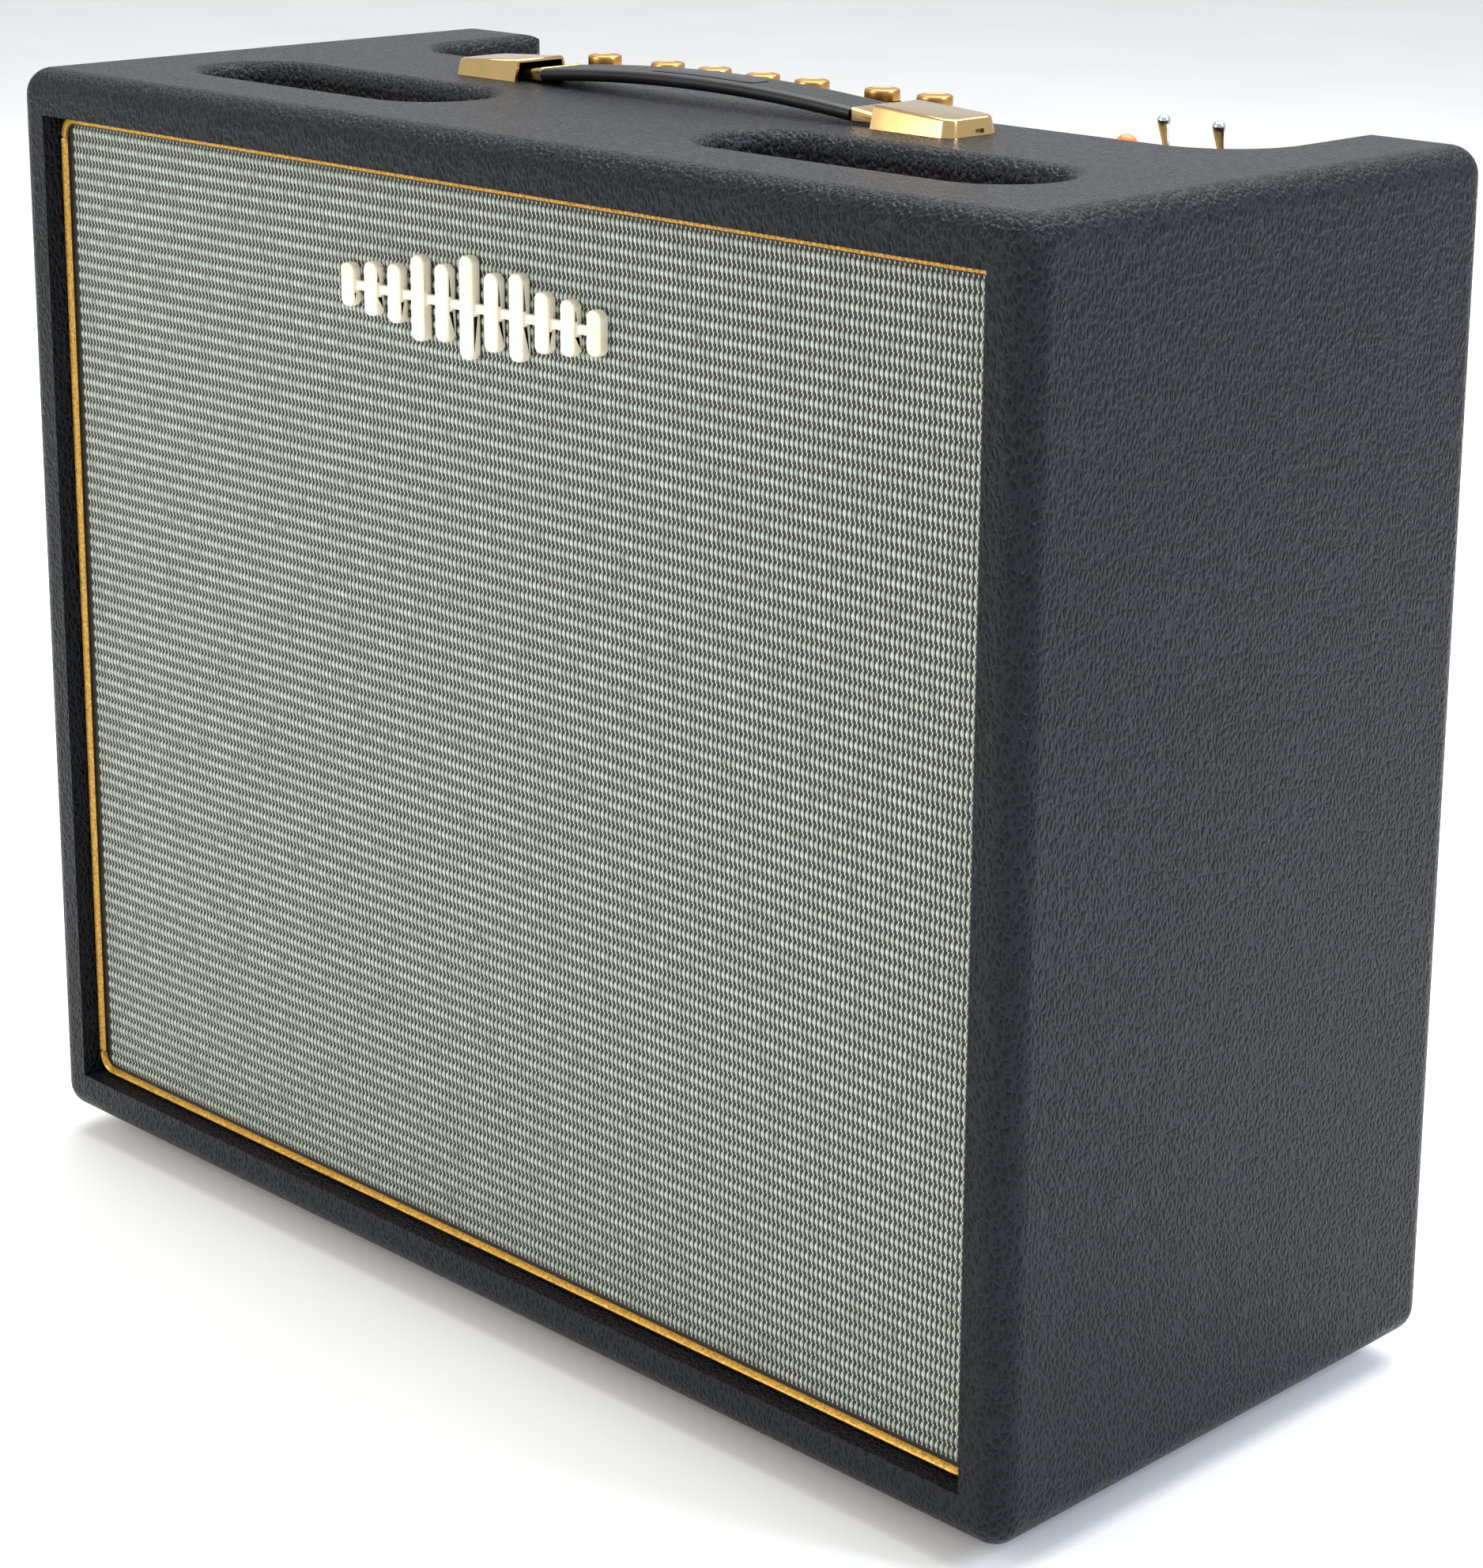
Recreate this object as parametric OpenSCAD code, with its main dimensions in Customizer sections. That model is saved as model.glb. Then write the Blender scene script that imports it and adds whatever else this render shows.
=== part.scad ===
// Guitar combo amplifier: one 12 inch speaker, top-mounted controls in a well at the rear edge.
// Millimetres. +X is the viewer's right, -Y the front, +Z up. The origin is on the floor, under the
// middle of the cabinet.

/* [Cabinet] */
// Width over the covering
cab_w = 600; // [500:1:720]
// Height without the feet
cab_h = 500; // [416:1:600]
// Depth over the covering
cab_d = 272; // [264:1:340]
// Thickness of the plywood boards
board_t = 18; // [15:0.5:22]
// Thickness of the vinyl covering
skin_t = 1; // [0.8:0.1:1.4]
// Rounding of all the cabinet's edges and corners
edge_r = 12; // [8:0.5:14]
// Section of the square battens inside
cleat_w = 18; // [14:1:22]

/* [Top openings] */
// Length of each vent slot
slot_len = 168; // [120:1:200]
// Width of each vent slot
slot_w = 50; // [30:1:60]
// Distance from the middle of the top to the middle of a slot
slot_x = 160; // [110:1:180]
// Distance from the front of the cabinet to the middle of a slot
slot_from_front = 76; // [66:1:80]
// Rounding along the edges of the slots and of the control well
cut_round = 8; // [4:0.5:10]
// Width of the control well
well_w = 488; // [440:1:490]
// Length of the control well, in from the rear face
well_depth = 88; // [84:1:96]
// Corner radius of the control well, seen from above
well_r = 32; // [20:1:40]
// Radius where the well's ends meet the rear face
well_end_r = 12; // [6:1:16]

/* [Front] */
// Depth of the grille behind the front face
recess = 12; // [8:1:20]
// Thickness of the baffle
baffle_t = 15; // [12:1:18]
// Thickness of the grille cloth
cloth_t = 1.5; // [1:0.1:2]
// Gap all round between the cloth and the covering
baffle_gap = 1.5; // [1:0.1:3]
// Diameter of the piping
piping_d = 3.6; // [2.5:0.1:5]
// Width of the emblem
emblem_w = 158; // [120:1:180]
// Height of the emblem's tallest bar
emblem_h = 42; // [30:1:50]
// Thickness of the emblem
emblem_t = 5; // [3:0.5:8]
// Number of bars in the emblem
emblem_bars = 11; // [7:2:15]
// Distance from the top of the opening to the middle of the emblem
emblem_drop = 51; // [40:1:70]

/* [Feet] */
// Height of a foot
foot_h = 12; // [8:1:25]
// Diameter of a foot
foot_d = 38; // [25:1:45]
// Distance of a foot's middle from the cabinet's sides
foot_inset = 52; // [44:1:70]

/* [Handle] */
// Length over the end caps
handle_l = 296; // [260:1:340]
// Length of an end cap
cap_l = 42; // [38:1:50]
// Width of an end cap
cap_w = 31; // [29:1:36]
// Height of an end cap at its inner end
cap_h_in = 9.5; // [9.5:0.5:14]
// Height of an end cap at its outer end
cap_h_out = 7; // [6.5:0.5:9]
// Wall of an end cap
cap_t = 1.5; // [1:0.1:1.5]
// Width of the strap
strap_w = 26; // [22:1:26]
// Thickness of the strap
strap_t = 6; // [5:0.5:8]
// Height of the strap's underside above the cabinet, at its ends
strap_low = 1.2; // [1:0.1:2]
// Height of the strap's underside above the cabinet, at its middle
strap_high = 5.6; // [5.2:0.1:8]
// How far the strap lifts before it bends
strap_lift = 2.5; // [1:0.1:2.5]
// Distance from the front of the cabinet to the middle of the handle
handle_from_front = 143; // [134:1:144]

/* [Controls] */
// Distance between knobs of one group
knob_pitch = 30.4; // [26:0.1:32]
// Distance between the knobs on either side of a gap
knob_group_gap = 42; // [36:0.5:42]
// X of the leftmost knob
knob_x0 = -151; // [-155:1:-145]
// Distance from the rear face to the row of controls
row_from_rear = 49; // [40:1:52]
// Diameter of a knob at its skirt
knob_d = 19; // [17:0.5:22]
// Diameter of a knob's metal cap
knob_cap_d = 15.8; // [13:0.1:16]
// Height of a knob's metal cap
knob_cap_h = 5.2; // [3:0.1:7]
// Height of a knob's black body
knob_body_h = 12.3; // [11:0.1:16]
// Diameter of the control shafts
shaft_d = 6; // [6:0.05:6.35]
// Running clearance round a shaft, on the radius
shaft_gap = 0.05; // [0.02:0.01:0.1]
// Travel of the pull switch on the gain control
pull_travel = 3.5; // [2:0.1:3.5]
// X of the signal lamp
lamp_x = 159; // [156:0.5:160]
// X of the power switch
power_x = 180; // [179:0.5:182]
// Distance between the two switches
switch_gap = 27.5; // [24:0.5:28]
// Length of a switch lever above its pivot
lever_l = 17; // [14:0.5:20]
// Lean of a switch lever from upright
lever_lean = 11; // [8:0.5:12]
// X of the outer input jack
input_x0 = -214; // [-218:1:-212]
// Distance between the two input jacks
input_gap = 28; // [24:0.5:29]
// Bore of a jack socket
jack_bore_d = 6.6; // [6.5:0.05:6.8]

/* [Chassis] */
// Width of the chassis
chassis_w = 524; // [510:1:530]
// Height of the chassis
chassis_h = 60; // [56:1:70]
// Sheet thickness of the chassis
sheet_t = 1.5; // [1:0.1:1.5]
// Thickness of the control panel
panel_t = 1.5; // [1:0.1:2]
// Thickness of the circuit board
pcb_t = 1.6; // [1.2:0.1:2]

/* [Back] */
// Thickness of the back panels
back_t = 9; // [6:1:12]
// Depth of the back panels in from the rear face
back_inset = 6; // [4:1:8]
// Height of the upper back panel
upper_back_h = 130; // [120:1:140]
// Height of the lower back panel
lower_back_h = 158; // [100:1:160]
// Width of the vent grille
vent_w = 320; // [240:1:360]
// Height of the vent grille
vent_h = 96; // [80:1:104]

/* [Speaker] */
// Outer diameter of the speaker's flange
flange_d = 309; // [300:0.5:312]
// Diameter of the opening in the baffle
speaker_cut_d = 283; // [276:0.5:284]
// Diameter of the speaker's bolt circle
speaker_pcd = 297; // [294:0.5:298]
// Depth of the basket behind the flange
basket_h = 77; // [72:1:84]
// Diameter of the magnet
magnet_d = 156; // [134:1:160]
// Thickness of the magnet
magnet_t = 20; // [16:1:24]
// Thickness of each motor plate
plate_t = 7; // [5:0.5:8]
// Diameter of the voice coil, outside
coil_d = 44.6; // [38:0.1:50]

/* [Hidden] */
$fn = 96;
eps = 1;                                   // how far a cutter runs past a face
fit = 0.1;                                 // gap round a bush in its hole, on the radius

y_front = -cab_d / 2;
y_rear = cab_d / 2;
z_bot = foot_h;
z_top = foot_h + cab_h;
z_mid = foot_h + cab_h / 2;
in_x = cab_w / 2 - skin_t - board_t;       // inner faces of the side boards
in_top = z_top - skin_t - board_t;         // underside of the top board
in_bot = z_bot + skin_t + board_t;         // upper face of the bottom board
open_x = in_x - skin_t;                    // front opening, inside its covering
open_top = in_top - skin_t;
open_bot = in_bot + skin_t;
slot_y = y_front + slot_from_front;
well_hw = well_w / 2;
well_y = y_rear - well_depth;              // front wall of the well

cloth_y = y_front + recess;                // front face of the cloth
baffle_y = cloth_y + cloth_t;
baffle_back = baffle_y + baffle_t;
cloth_hx = open_x - baffle_gap;            // half width over the cloth's wrapped edges
cloth_hz = (open_top - open_bot) / 2 - baffle_gap;
baffle_hx = cloth_hx - cloth_t;
baffle_hz = cloth_hz - cloth_t;

handle_y = y_front + handle_from_front;
cap_x0 = handle_l / 2 - cap_l;             // inner end of an end cap
cap_x1 = handle_l / 2;
cap_end = 9;                               // solid block in the cap's outer end
ferrule_l = 14;                            // ferrule that shows beyond the cap
tongue_t = 2;
tongue_z = z_top + 1;
strap_x = cap_x0 - ferrule_l;              // half length of the strap
strap_r = (strap_x * strap_x + pow(strap_high - strap_low, 2)) / (2 * (strap_high - strap_low));

panel_z = in_top + panel_t;                // upper face of the control panel
row_y = y_rear - row_from_rear;
knob_gap = 1.2;                            // gap under a knob's skirt
knob_z = panel_z + knob_gap;
bush_d = 7;
bush_h = 7;                                // pot bush above the panel
nut_h = 2.2;
pot_d = 17;
pot_h = 9;
pcb_z = in_top - sheet_t - 22;             // upper face of the circuit board
plunger_t = 2;
plunger_z = pcb_z + 5;
face_gap = 0.2;                            // gap between faces of pieces that move apart
toggle_bush_d = 11.8;
toggle_bush_h = 8;
pivot_z = panel_z + toggle_bush_h - 2.5;
ball_d = 6.4;
socket_d = 7.4;
jack_bush_d = 9.4;
jack_depth = 30;                           // length of a jack's bore
jack_nose = 5;                             // threaded nose that stands out of the panel
rear_jacks = [-120, -92, 0, 28];           // X of the jacks on the rear wall
rear_jack_z = in_top - 38;
inlet_x = 205;

chassis_y0 = well_y - 8;                   // open front of the chassis
chassis_y1 = y_rear - 18;                  // outer face of its rear wall
chassis_z = in_top - chassis_h;            // underside of the chassis
sheet_gap = 0.1;                           // open seam between two sheets
panel_gap = 3;                             // control panel's edge to the well's wall
hang_y = y_rear - 56;                      // row of transformers and valves
back_y1 = y_rear - back_inset;
back_y0 = back_y1 - back_t;
upper_z1 = chassis_z - 3;
upper_z0 = upper_z1 - upper_back_h;
lower_z1 = in_bot + lower_back_h;
vent_z = (upper_z0 + upper_z1) / 2;
vent_rim = 8;                              // overlap of the grille on the panel
vent_t = 1;

speaker_z = z_mid;
gasket_t = 4;
flange_t = 2.5;
flange_y = baffle_back + gasket_t;         // front face of the speaker's flange
motor_r = 62;
pole_gap = 0.7;                            // clear gap on each side of the voice coil
coil_t = 0.6;
cone_r = 128;
cone_w0 = 8;                               // behind the flange: the cone's wide edge
cone_w1 = 52;                              // and its neck
cone_t = 0.8;
cone_travel = 4;
bolt_count = 8;
basket_r = speaker_cut_d / 2 - 5;          // inside of the basket at its flange
basket_step = 16;                          // straight part of the basket behind the flange
shelf_w = cone_w1 + 11;                    // shelf that the spider is glued to
terminal_r = 122;

power_valve_x = [48, 104];
preamp_valve_x = [-24, -66, -108];
mains_tx_x = 192;
output_tx_x = -192;

// X of knob i, counted from the left: one, a gap, four, a gap, two
function knob_x(i) = knob_x0 + (i > 0 ? knob_group_gap : 0) + (i > 4 ? knob_group_gap : 0)
    + knob_pitch * (i > 4 ? i - 2 : max(0, i - 1));

// ---------------------------------------------------------------- helpers

module rounded_rect(w, h, r) {
    square([w - 2 * r, h], center = true);
    square([w, h - 2 * r], center = true);
    for (sx = [-1, 1], sy = [-1, 1])
        translate([sx * (w / 2 - r), sy * (h / 2 - r)]) circle(r);
}

// The cabinet's outer form, set in by off all round, with ball corners
module envelope(off) {
    w = cab_w - 2 * off;
    h = cab_h - 2 * off;
    d = cab_d - 2 * off;
    r = edge_r - off;
    translate([0, 0, z_mid]) difference() {
        intersection() {
            rotate([90, 0, 0]) linear_extrude(d, center = true) rounded_rect(w, h, r);
            rotate([90, 0, 90]) linear_extrude(w, center = true) rounded_rect(d, h, r);
            linear_extrude(h, center = true) rounded_rect(w, d, r);
        }
        for (mx = [0, 1], my = [0, 1], mz = [0, 1])
            mirror([mx, 0, 0]) mirror([0, my, 0]) mirror([0, 0, mz])
                translate([w / 2 - r, d / 2 - r, h / 2 - r]) difference() {
                    cube(r + eps);
                    sphere(r);
                }
    }
}

// A box from its two corners
module span(a, b) translate(a) cube(b - a);

// Section of the cutter that rounds over a cut's upper edge; the cut's wall is at x = wall
module flare_section(wall, off) {
    difference() {
        translate([wall + off - 0.01, z_top - cut_round])
            square([cut_round - off + 0.01, cut_round + eps]);
        translate([wall + cut_round, z_top - cut_round]) circle(cut_round - off);
    }
}

module slot_cut(off) {
    hw = slot_w / 2;
    half = slot_len / 2 - hw;
    low = in_top - 2;
    translate([0, slot_y, 0]) {
        translate([0, 0, low]) linear_extrude(z_top - low + eps) {
            square([2 * half, slot_w + 2 * off], center = true);
            for (s = [-1, 1]) translate([s * half, 0]) circle(hw + off);
        }
        for (s = [0, 1]) mirror([0, s, 0])
            translate([-half, 0, 0]) rotate([90, 0, 90]) linear_extrude(2 * half) flare_section(hw, off);
        for (s = [0, 1]) mirror([s, 0, 0])
            translate([half, 0, 0]) rotate([0, 0, -90]) rotate_extrude(angle = 180) flare_section(hw, off);
    }
}

module well_plan(off) {
    far = y_rear + eps;
    r = well_r + off;
    hw = well_hw + off;
    y0 = well_y - off;
    translate([-hw + r, y0]) square([2 * (hw - r), far - y0]);
    translate([-hw, y0 + r]) square([2 * hw, far - y0 - r]);
    for (s = [-1, 1]) translate([s * (hw - r), y0 + r]) circle(r);
    // rounded ends at the rear face
    re = well_end_r - off;
    for (s = [-1, 1]) difference() {
        translate([s * (well_hw + (well_end_r + off) / 2 ), y_rear - well_end_r / 2 + eps / 2])
            square([well_end_r - off, well_end_r + eps], center = true);
        translate([s * (well_hw + well_end_r), y_rear - well_end_r]) circle(re);
    }
}

module well_cut(off) {
    low = in_top - 2;
    side = well_depth - well_r;
    half = well_hw - well_r;
    translate([0, 0, low]) linear_extrude(z_top - low + eps) well_plan(off);
    translate([-half, well_y + well_r, 0]) rotate([90, 0, 90])
        linear_extrude(2 * half) mirror([1, 0, 0]) flare_section(well_r, off);
    for (s = [0, 1]) mirror([s, 0, 0]) {
        translate([half, well_y + well_r, 0]) rotate([0, 0, -90])
            rotate_extrude(angle = 90) flare_section(well_r, off);
        translate([half, well_y + well_r, 0]) rotate([90, 0, 0]) mirror([0, 0, 1])
            linear_extrude(side + eps) flare_section(well_r, off);
    }
}

module top_cuts(off) {
    for (s = [-1, 1]) translate([s * slot_x, 0, 0]) slot_cut(off);
    well_cut(off);
}

module inside_prism() {
    span([-in_x, y_front - eps, in_bot], [in_x, y_rear + eps, in_top]);
}

// Turns a speaker part's own axis onto +Y; z = 0 is the front face of the flange
module speaker_axis() translate([0, flange_y, speaker_z]) rotate([-90, 0, 0]) children();

// ---------------------------------------------------------------- cabinet

module cabinet_side(s) {
    intersection() {
        envelope(skin_t);
        translate([s > 0 ? in_x : -cab_w, -cab_d, 0]) cube([cab_w - in_x, 2 * cab_d, 2 * z_top]);
    }
}
module cabinet_left() color("burlywood") cabinet_side(-1);
module cabinet_right() color("burlywood") cabinet_side(1);

module cabinet_top() color("burlywood") difference() {
    intersection() {
        envelope(skin_t);
        span([-in_x, -cab_d, in_top], [in_x, cab_d, 2 * z_top]);
    }
    top_cuts(skin_t);
}

module cabinet_bottom() color("burlywood") intersection() {
    envelope(skin_t);
    span([-in_x, -cab_d, 0], [in_x, cab_d, in_bot]);
}

// Covering: outside all over, round the front lip as far as the baffle's back, and round the rear edge
module vinyl_covering() color([0.15, 0.16, 0.18]) difference() {
    envelope(0);
    difference() {
        envelope(skin_t);
        inside_prism();
        top_cuts(skin_t);
    }
    span([-open_x, y_front - eps, open_bot], [open_x, y_rear + eps, open_top]);
    span([-in_x, baffle_back, in_bot], [in_x, y_rear + eps, in_top]);
    top_cuts(0);
}

module cleats() color("tan") {
    front_y = baffle_back + cleat_w;
    for (s = [-1, 1]) {
        x0 = s > 0 ? in_x - cleat_w : -in_x;
        span([x0, baffle_back, in_bot], [x0 + cleat_w, front_y, in_top]);
        span([x0, back_y0 - cleat_w, upper_z0], [x0 + cleat_w, back_y0, upper_z1]);
        span([x0, back_y0 - cleat_w, in_bot], [x0 + cleat_w, back_y0, lower_z1]);
    }
    inner = in_x - cleat_w - face_gap;
    span([-inner, baffle_back, in_bot], [inner, front_y, in_bot + cleat_w]);
    span([-inner, baffle_back, in_top - cleat_w], [inner, front_y, in_top]);
    span([-inner, back_y0 - cleat_w, in_bot], [inner, back_y0, in_bot + cleat_w]);
}

module baffle_board() color("peru") difference() {
    span([-baffle_hx, baffle_y, z_mid - baffle_hz], [baffle_hx, baffle_back, z_mid + baffle_hz]);
    translate([0, baffle_back + eps, speaker_z]) rotate([90, 0, 0])
        cylinder(h = baffle_t + 2 * eps, d = speaker_cut_d);
}

module grille_cloth() color([0.62, 0.65, 0.60]) difference() {
    span([-cloth_hx, cloth_y, z_mid - cloth_hz], [cloth_hx, baffle_back, z_mid + cloth_hz]);
    span([-baffle_hx, baffle_y, z_mid - baffle_hz], [baffle_hx, baffle_back + eps, z_mid + baffle_hz]);
}

// Piping: a cord ring that lies on the cloth's edge, hard against the covering
module piping() color("goldenrod") translate([0, cloth_y, z_mid]) rotate([90, 0, 0])
    linear_extrude(piping_d) difference() {
        rounded_rect(2 * open_x - 0.4, open_top - open_bot - 0.4, 6);
        rounded_rect(2 * open_x - 0.4 - 2 * piping_d, open_top - open_bot - 0.4 - 2 * piping_d,
            6 - piping_d);
    }

// Emblem: a row of rounded bars like a sound level display, moulded in one piece with a thinner rail
module emblem() color("ivory") {
    pitch = emblem_w / (emblem_bars - 0.45);
    bar_w = pitch * 0.55;
    corner = bar_w * 0.25;
    rail_h = 4;
    mid = (emblem_bars - 1) / 2;
    translate([0, cloth_y, open_top - emblem_drop]) rotate([90, 0, 0]) {
        linear_extrude(emblem_t - 2) square([pitch * (emblem_bars - 1), rail_h], center = true);
        for (i = [0 : emblem_bars - 1]) {
            half = emblem_h / 2 * (0.42 + 0.58 * pow(cos((i - mid) / mid * 80), 2) * (i % 2 == 0 ? 0.62 : 1));
            translate([(i - mid) * pitch, 0]) linear_extrude(emblem_t) polygon([
                [-bar_w / 2, corner - half], [corner - bar_w / 2, -half],
                [bar_w / 2 - corner, -half], [bar_w / 2, corner - half],
                [bar_w / 2, half - corner], [bar_w / 2 - corner, half],
                [corner - bar_w / 2, half], [-bar_w / 2, half - corner],
            ]);
        }
    }
}

module feet() color([0.1, 0.1, 0.1])
    for (sx = [-1, 1], sy = [-1, 1])
        translate([sx * (cab_w / 2 - foot_inset), sy * (cab_d / 2 - foot_inset), 0]) difference() {
            union() {
                translate([0, 0, 2]) cylinder(h = foot_h - 2, d1 = foot_d - 4, d2 = foot_d);
                cylinder(h = 2, d = foot_d - 4);
            }
            translate([0, 0, -eps]) cylinder(h = eps + foot_h - 5, d = 13);
            cylinder(h = foot_h + eps, d = 4.4);
        }

// One pan-head wood screw: head below z = 0, point up
module wood_screw(len) {
    translate([0, 0, -2.6]) cylinder(h = 2.6, d = 8.4);
    cylinder(h = len, d = 4);
}

module wood_screws() color("dimgray") {
    for (sx = [-1, 1], sy = [-1, 1])
        translate([sx * (cab_w / 2 - foot_inset), sy * (cab_d / 2 - foot_inset), foot_h - 5])
            wood_screw(18);
    x = in_x - cleat_w / 2;
    for (s = [-1, 1], z = [upper_z0 + 15, upper_z1 - 15, in_bot + 30, lower_z1 - 20])
        translate([s * x, back_y1, z]) rotate([90, 0, 0]) wood_screw(back_t + 12);
    for (s = [-1, 0, 1])
        translate([s * x * 0.6, back_y1, in_bot + cleat_w / 2]) rotate([90, 0, 0]) wood_screw(back_t + 12);
}

// Speaker studs with their nuts, handle bolts from below, chassis bolts from inside
module machine_screws() color("silver") {
    for (i = [0 : bolt_count - 1]) {
        a = 22.5 + 45 * i;
        speaker_axis() rotate([0, 0, a]) translate([speaker_pcd / 2, 0, 0]) {
            translate([0, 0, -gasket_t - baffle_t + 1]) cylinder(h = gasket_t + baffle_t + 9, d = 5);
            translate([0, 0, flange_t]) cylinder(h = 4, d = 9.2, $fn = 6);
        }
    }
    for (s = [-1, 1]) translate([s * (cap_x1 - cap_end / 2), handle_y, in_top]) {
        translate([0, 0, -3.2]) cylinder(h = 3.2, d = 10);
        cylinder(h = z_top - in_top + 4.5, d = 5);
    }
    for (sx = [-1, 1], y = [chassis_y0 + 22, chassis_y1 - 18])
        translate([sx * (chassis_w / 2 - 8), y, in_top - sheet_t]) {
            translate([0, 0, -3]) cylinder(h = 3, d = 9);
            cylinder(h = sheet_t + 13, d = 5);
        }
}

// ---------------------------------------------------------------- handle

module handle_cap(s) color("gold") mirror([s < 0 ? 1 : 0, 0, 0])
    translate([0, handle_y, z_top]) difference() {
        intersection() {
            rotate([90, 0, 0]) linear_extrude(cap_w, center = true)
                polygon([[cap_x0, 0], [cap_x1, 0], [cap_x1, cap_h_out], [cap_x0, cap_h_in]]);
            linear_extrude(20) {
                translate([cap_x0, -cap_w / 2]) square([cap_l - 6, cap_w]);
                translate([cap_x0, -cap_w / 2 + 6]) square([cap_l, cap_w - 12]);
                for (sy = [-1, 1]) translate([cap_x1 - 6, sy * (cap_w / 2 - 6)]) circle(6);
            }
        }
        // hollow for the ferrule's tongue, under a sloping roof
        rotate([90, 0, 0]) linear_extrude(cap_w - 2 * cap_t, center = true)
            polygon([[cap_x0 - eps, -eps], [cap_x1 - cap_end, -eps],
                [cap_x1 - cap_end, cap_h_out - cap_t + cap_end * (cap_h_in - cap_h_out) / cap_l],
                [cap_x0 - eps, cap_h_in - cap_t + eps * (cap_h_in - cap_h_out) / cap_l]]);
    }
module handle_cap_left() handle_cap(-1);
module handle_cap_right() handle_cap(1);

// Strap: a shallow arch, held at each end in a ferrule
module handle_strap() color([0.09, 0.09, 0.1]) {
    top_r = strap_r + strap_t;
    translate([0, handle_y, z_top + strap_high - strap_r]) rotate([90, 0, 0])
        linear_extrude(strap_w, center = true) intersection() {
            difference() {
                circle(top_r, $fn = 360);
                circle(strap_r, $fn = 360);
            }
            translate([-strap_x, strap_r - 40]) square([2 * strap_x, 80]);
        }
}

// Ferrules: a block that grips the strap's end, and a tongue that lies in the cap's hollow
module strap_ferrules() color("gold") for (s = [0, 1]) mirror([s, 0, 0])
    translate([0, handle_y, 0]) {
        rotate([90, 0, 0]) linear_extrude(strap_w - 2, center = true)
            polygon([[strap_x, tongue_z], [cap_x0 - 0.5, tongue_z],
                [cap_x0 - 0.5, z_top + cap_h_in - cap_t - strap_lift - 0.6],
                [strap_x, z_top + strap_low + strap_t]]);
        span([cap_x0 - 1, -strap_w / 2 + 3, tongue_z],
            [cap_x1 - cap_end - 1, strap_w / 2 - 3, tongue_z + tongue_t]);
    }

// ---------------------------------------------------------------- chassis and controls

module panel_holes(z0, h) {
    for (i = [0 : 6]) translate([knob_x(i), row_y, z0]) cylinder(h = h, d = bush_d + 2 * fit);
    for (i = [0, 1]) {
        translate([power_x + i * switch_gap, row_y, z0]) cylinder(h = h, d = toggle_bush_d + 2 * fit);
        translate([input_x0 + i * input_gap, row_y, z0]) cylinder(h = h, d = jack_bush_d + 2 * fit);
    }
    translate([lamp_x, row_y, z0]) cylinder(h = h, d = 10 + 2 * fit);
}

module rear_holes(y0, h) {
    for (x = rear_jacks) translate([x, y0, rear_jack_z]) rotate([-90, 0, 0])
        cylinder(h = h, d = jack_bush_d + 2 * fit);
    translate([inlet_x - 14.2, y0, rear_jack_z - 10.7]) cube([28.4, h, 21.4]);
}

// Chassis of five sheets, with the seams left open: top and rear drilled, floor, and two ends
module chassis() color("lightsteelblue") {
    x = chassis_w / 2;
    low = chassis_z + sheet_t;
    high = in_top - sheet_t;
    difference() {
        span([-x, chassis_y0, high], [x, chassis_y1, in_top]);
        panel_holes(high - eps, sheet_t + 2 * eps);
    }
    difference() {
        span([-x, chassis_y1 - sheet_t, low + sheet_gap], [x, chassis_y1, high - sheet_gap]);
        rear_holes(chassis_y1 - sheet_t - eps, sheet_t + 2 * eps);
    }
    span([-x, chassis_y0, chassis_z], [x, chassis_y1, low]);
    for (s = [0, 1]) mirror([s, 0, 0])
        span([x - sheet_t, chassis_y0, low + sheet_gap],
            [x, chassis_y1 - sheet_t - sheet_gap, high - sheet_gap]);
}

// Control panel: follows the well's front corners; its rear plate hangs behind the chassis
module control_panel() color("darkgoldenrod") {
    side = well_hw - panel_gap;
    front = well_y + panel_gap;
    r = well_r - panel_gap;
    difference() {
        translate([0, 0, in_top]) linear_extrude(panel_t) {
            translate([-side, front + r]) square([2 * side, chassis_y1 + panel_t - front - r]);
            translate([r - side, front]) square([2 * (side - r), r + eps]);
            for (s = [-1, 1]) translate([s * (side - r), front + r]) circle(r);
        }
        panel_holes(in_top - eps, panel_t + 2 * eps);
    }
    difference() {
        span([-side, chassis_y1, chassis_z + panel_gap], [side, chassis_y1 + panel_t, in_top - sheet_gap]);
        rear_holes(chassis_y1 - eps, panel_t + 2 * eps);
    }
}

// One jack socket: z = 0 is the panel's outer face, the sheet and panel lie below it
module jack_socket() difference() {
    union() {
        cylinder(h = jack_nose, d = jack_bush_d);
        cylinder(h = 3, d = 14.5, $fn = 6);
        translate([0, 0, -panel_t - sheet_t - 1]) cylinder(h = panel_t + sheet_t + 2, d = jack_bush_d);
        translate([-8, -8, -panel_t - sheet_t - 25]) cube([16, 16, 25]);
    }
    translate([0, 0, jack_nose - jack_depth]) cylinder(h = jack_depth + eps, d = jack_bore_d);
}

module jack_sockets() color([0.12, 0.12, 0.12]) {
    for (i = [0, 1]) translate([input_x0 + i * input_gap, row_y, panel_z]) jack_socket();
    for (x = rear_jacks) translate([x, chassis_y1 + panel_t, rear_jack_z]) rotate([-90, 0, 0])
        jack_socket();
}

module lamp_lens() color("orangered") translate([lamp_x, row_y, panel_z]) {
    rotate_extrude() {
        square([5, 8]);
        intersection() {
            translate([0, 7.2]) circle(5);
            translate([0, 7]) square([5, 8]);
        }
        square([6.5, 2]);
    }
    translate([0, 0, -16]) cylinder(h = 17, d = 10);
}

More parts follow.
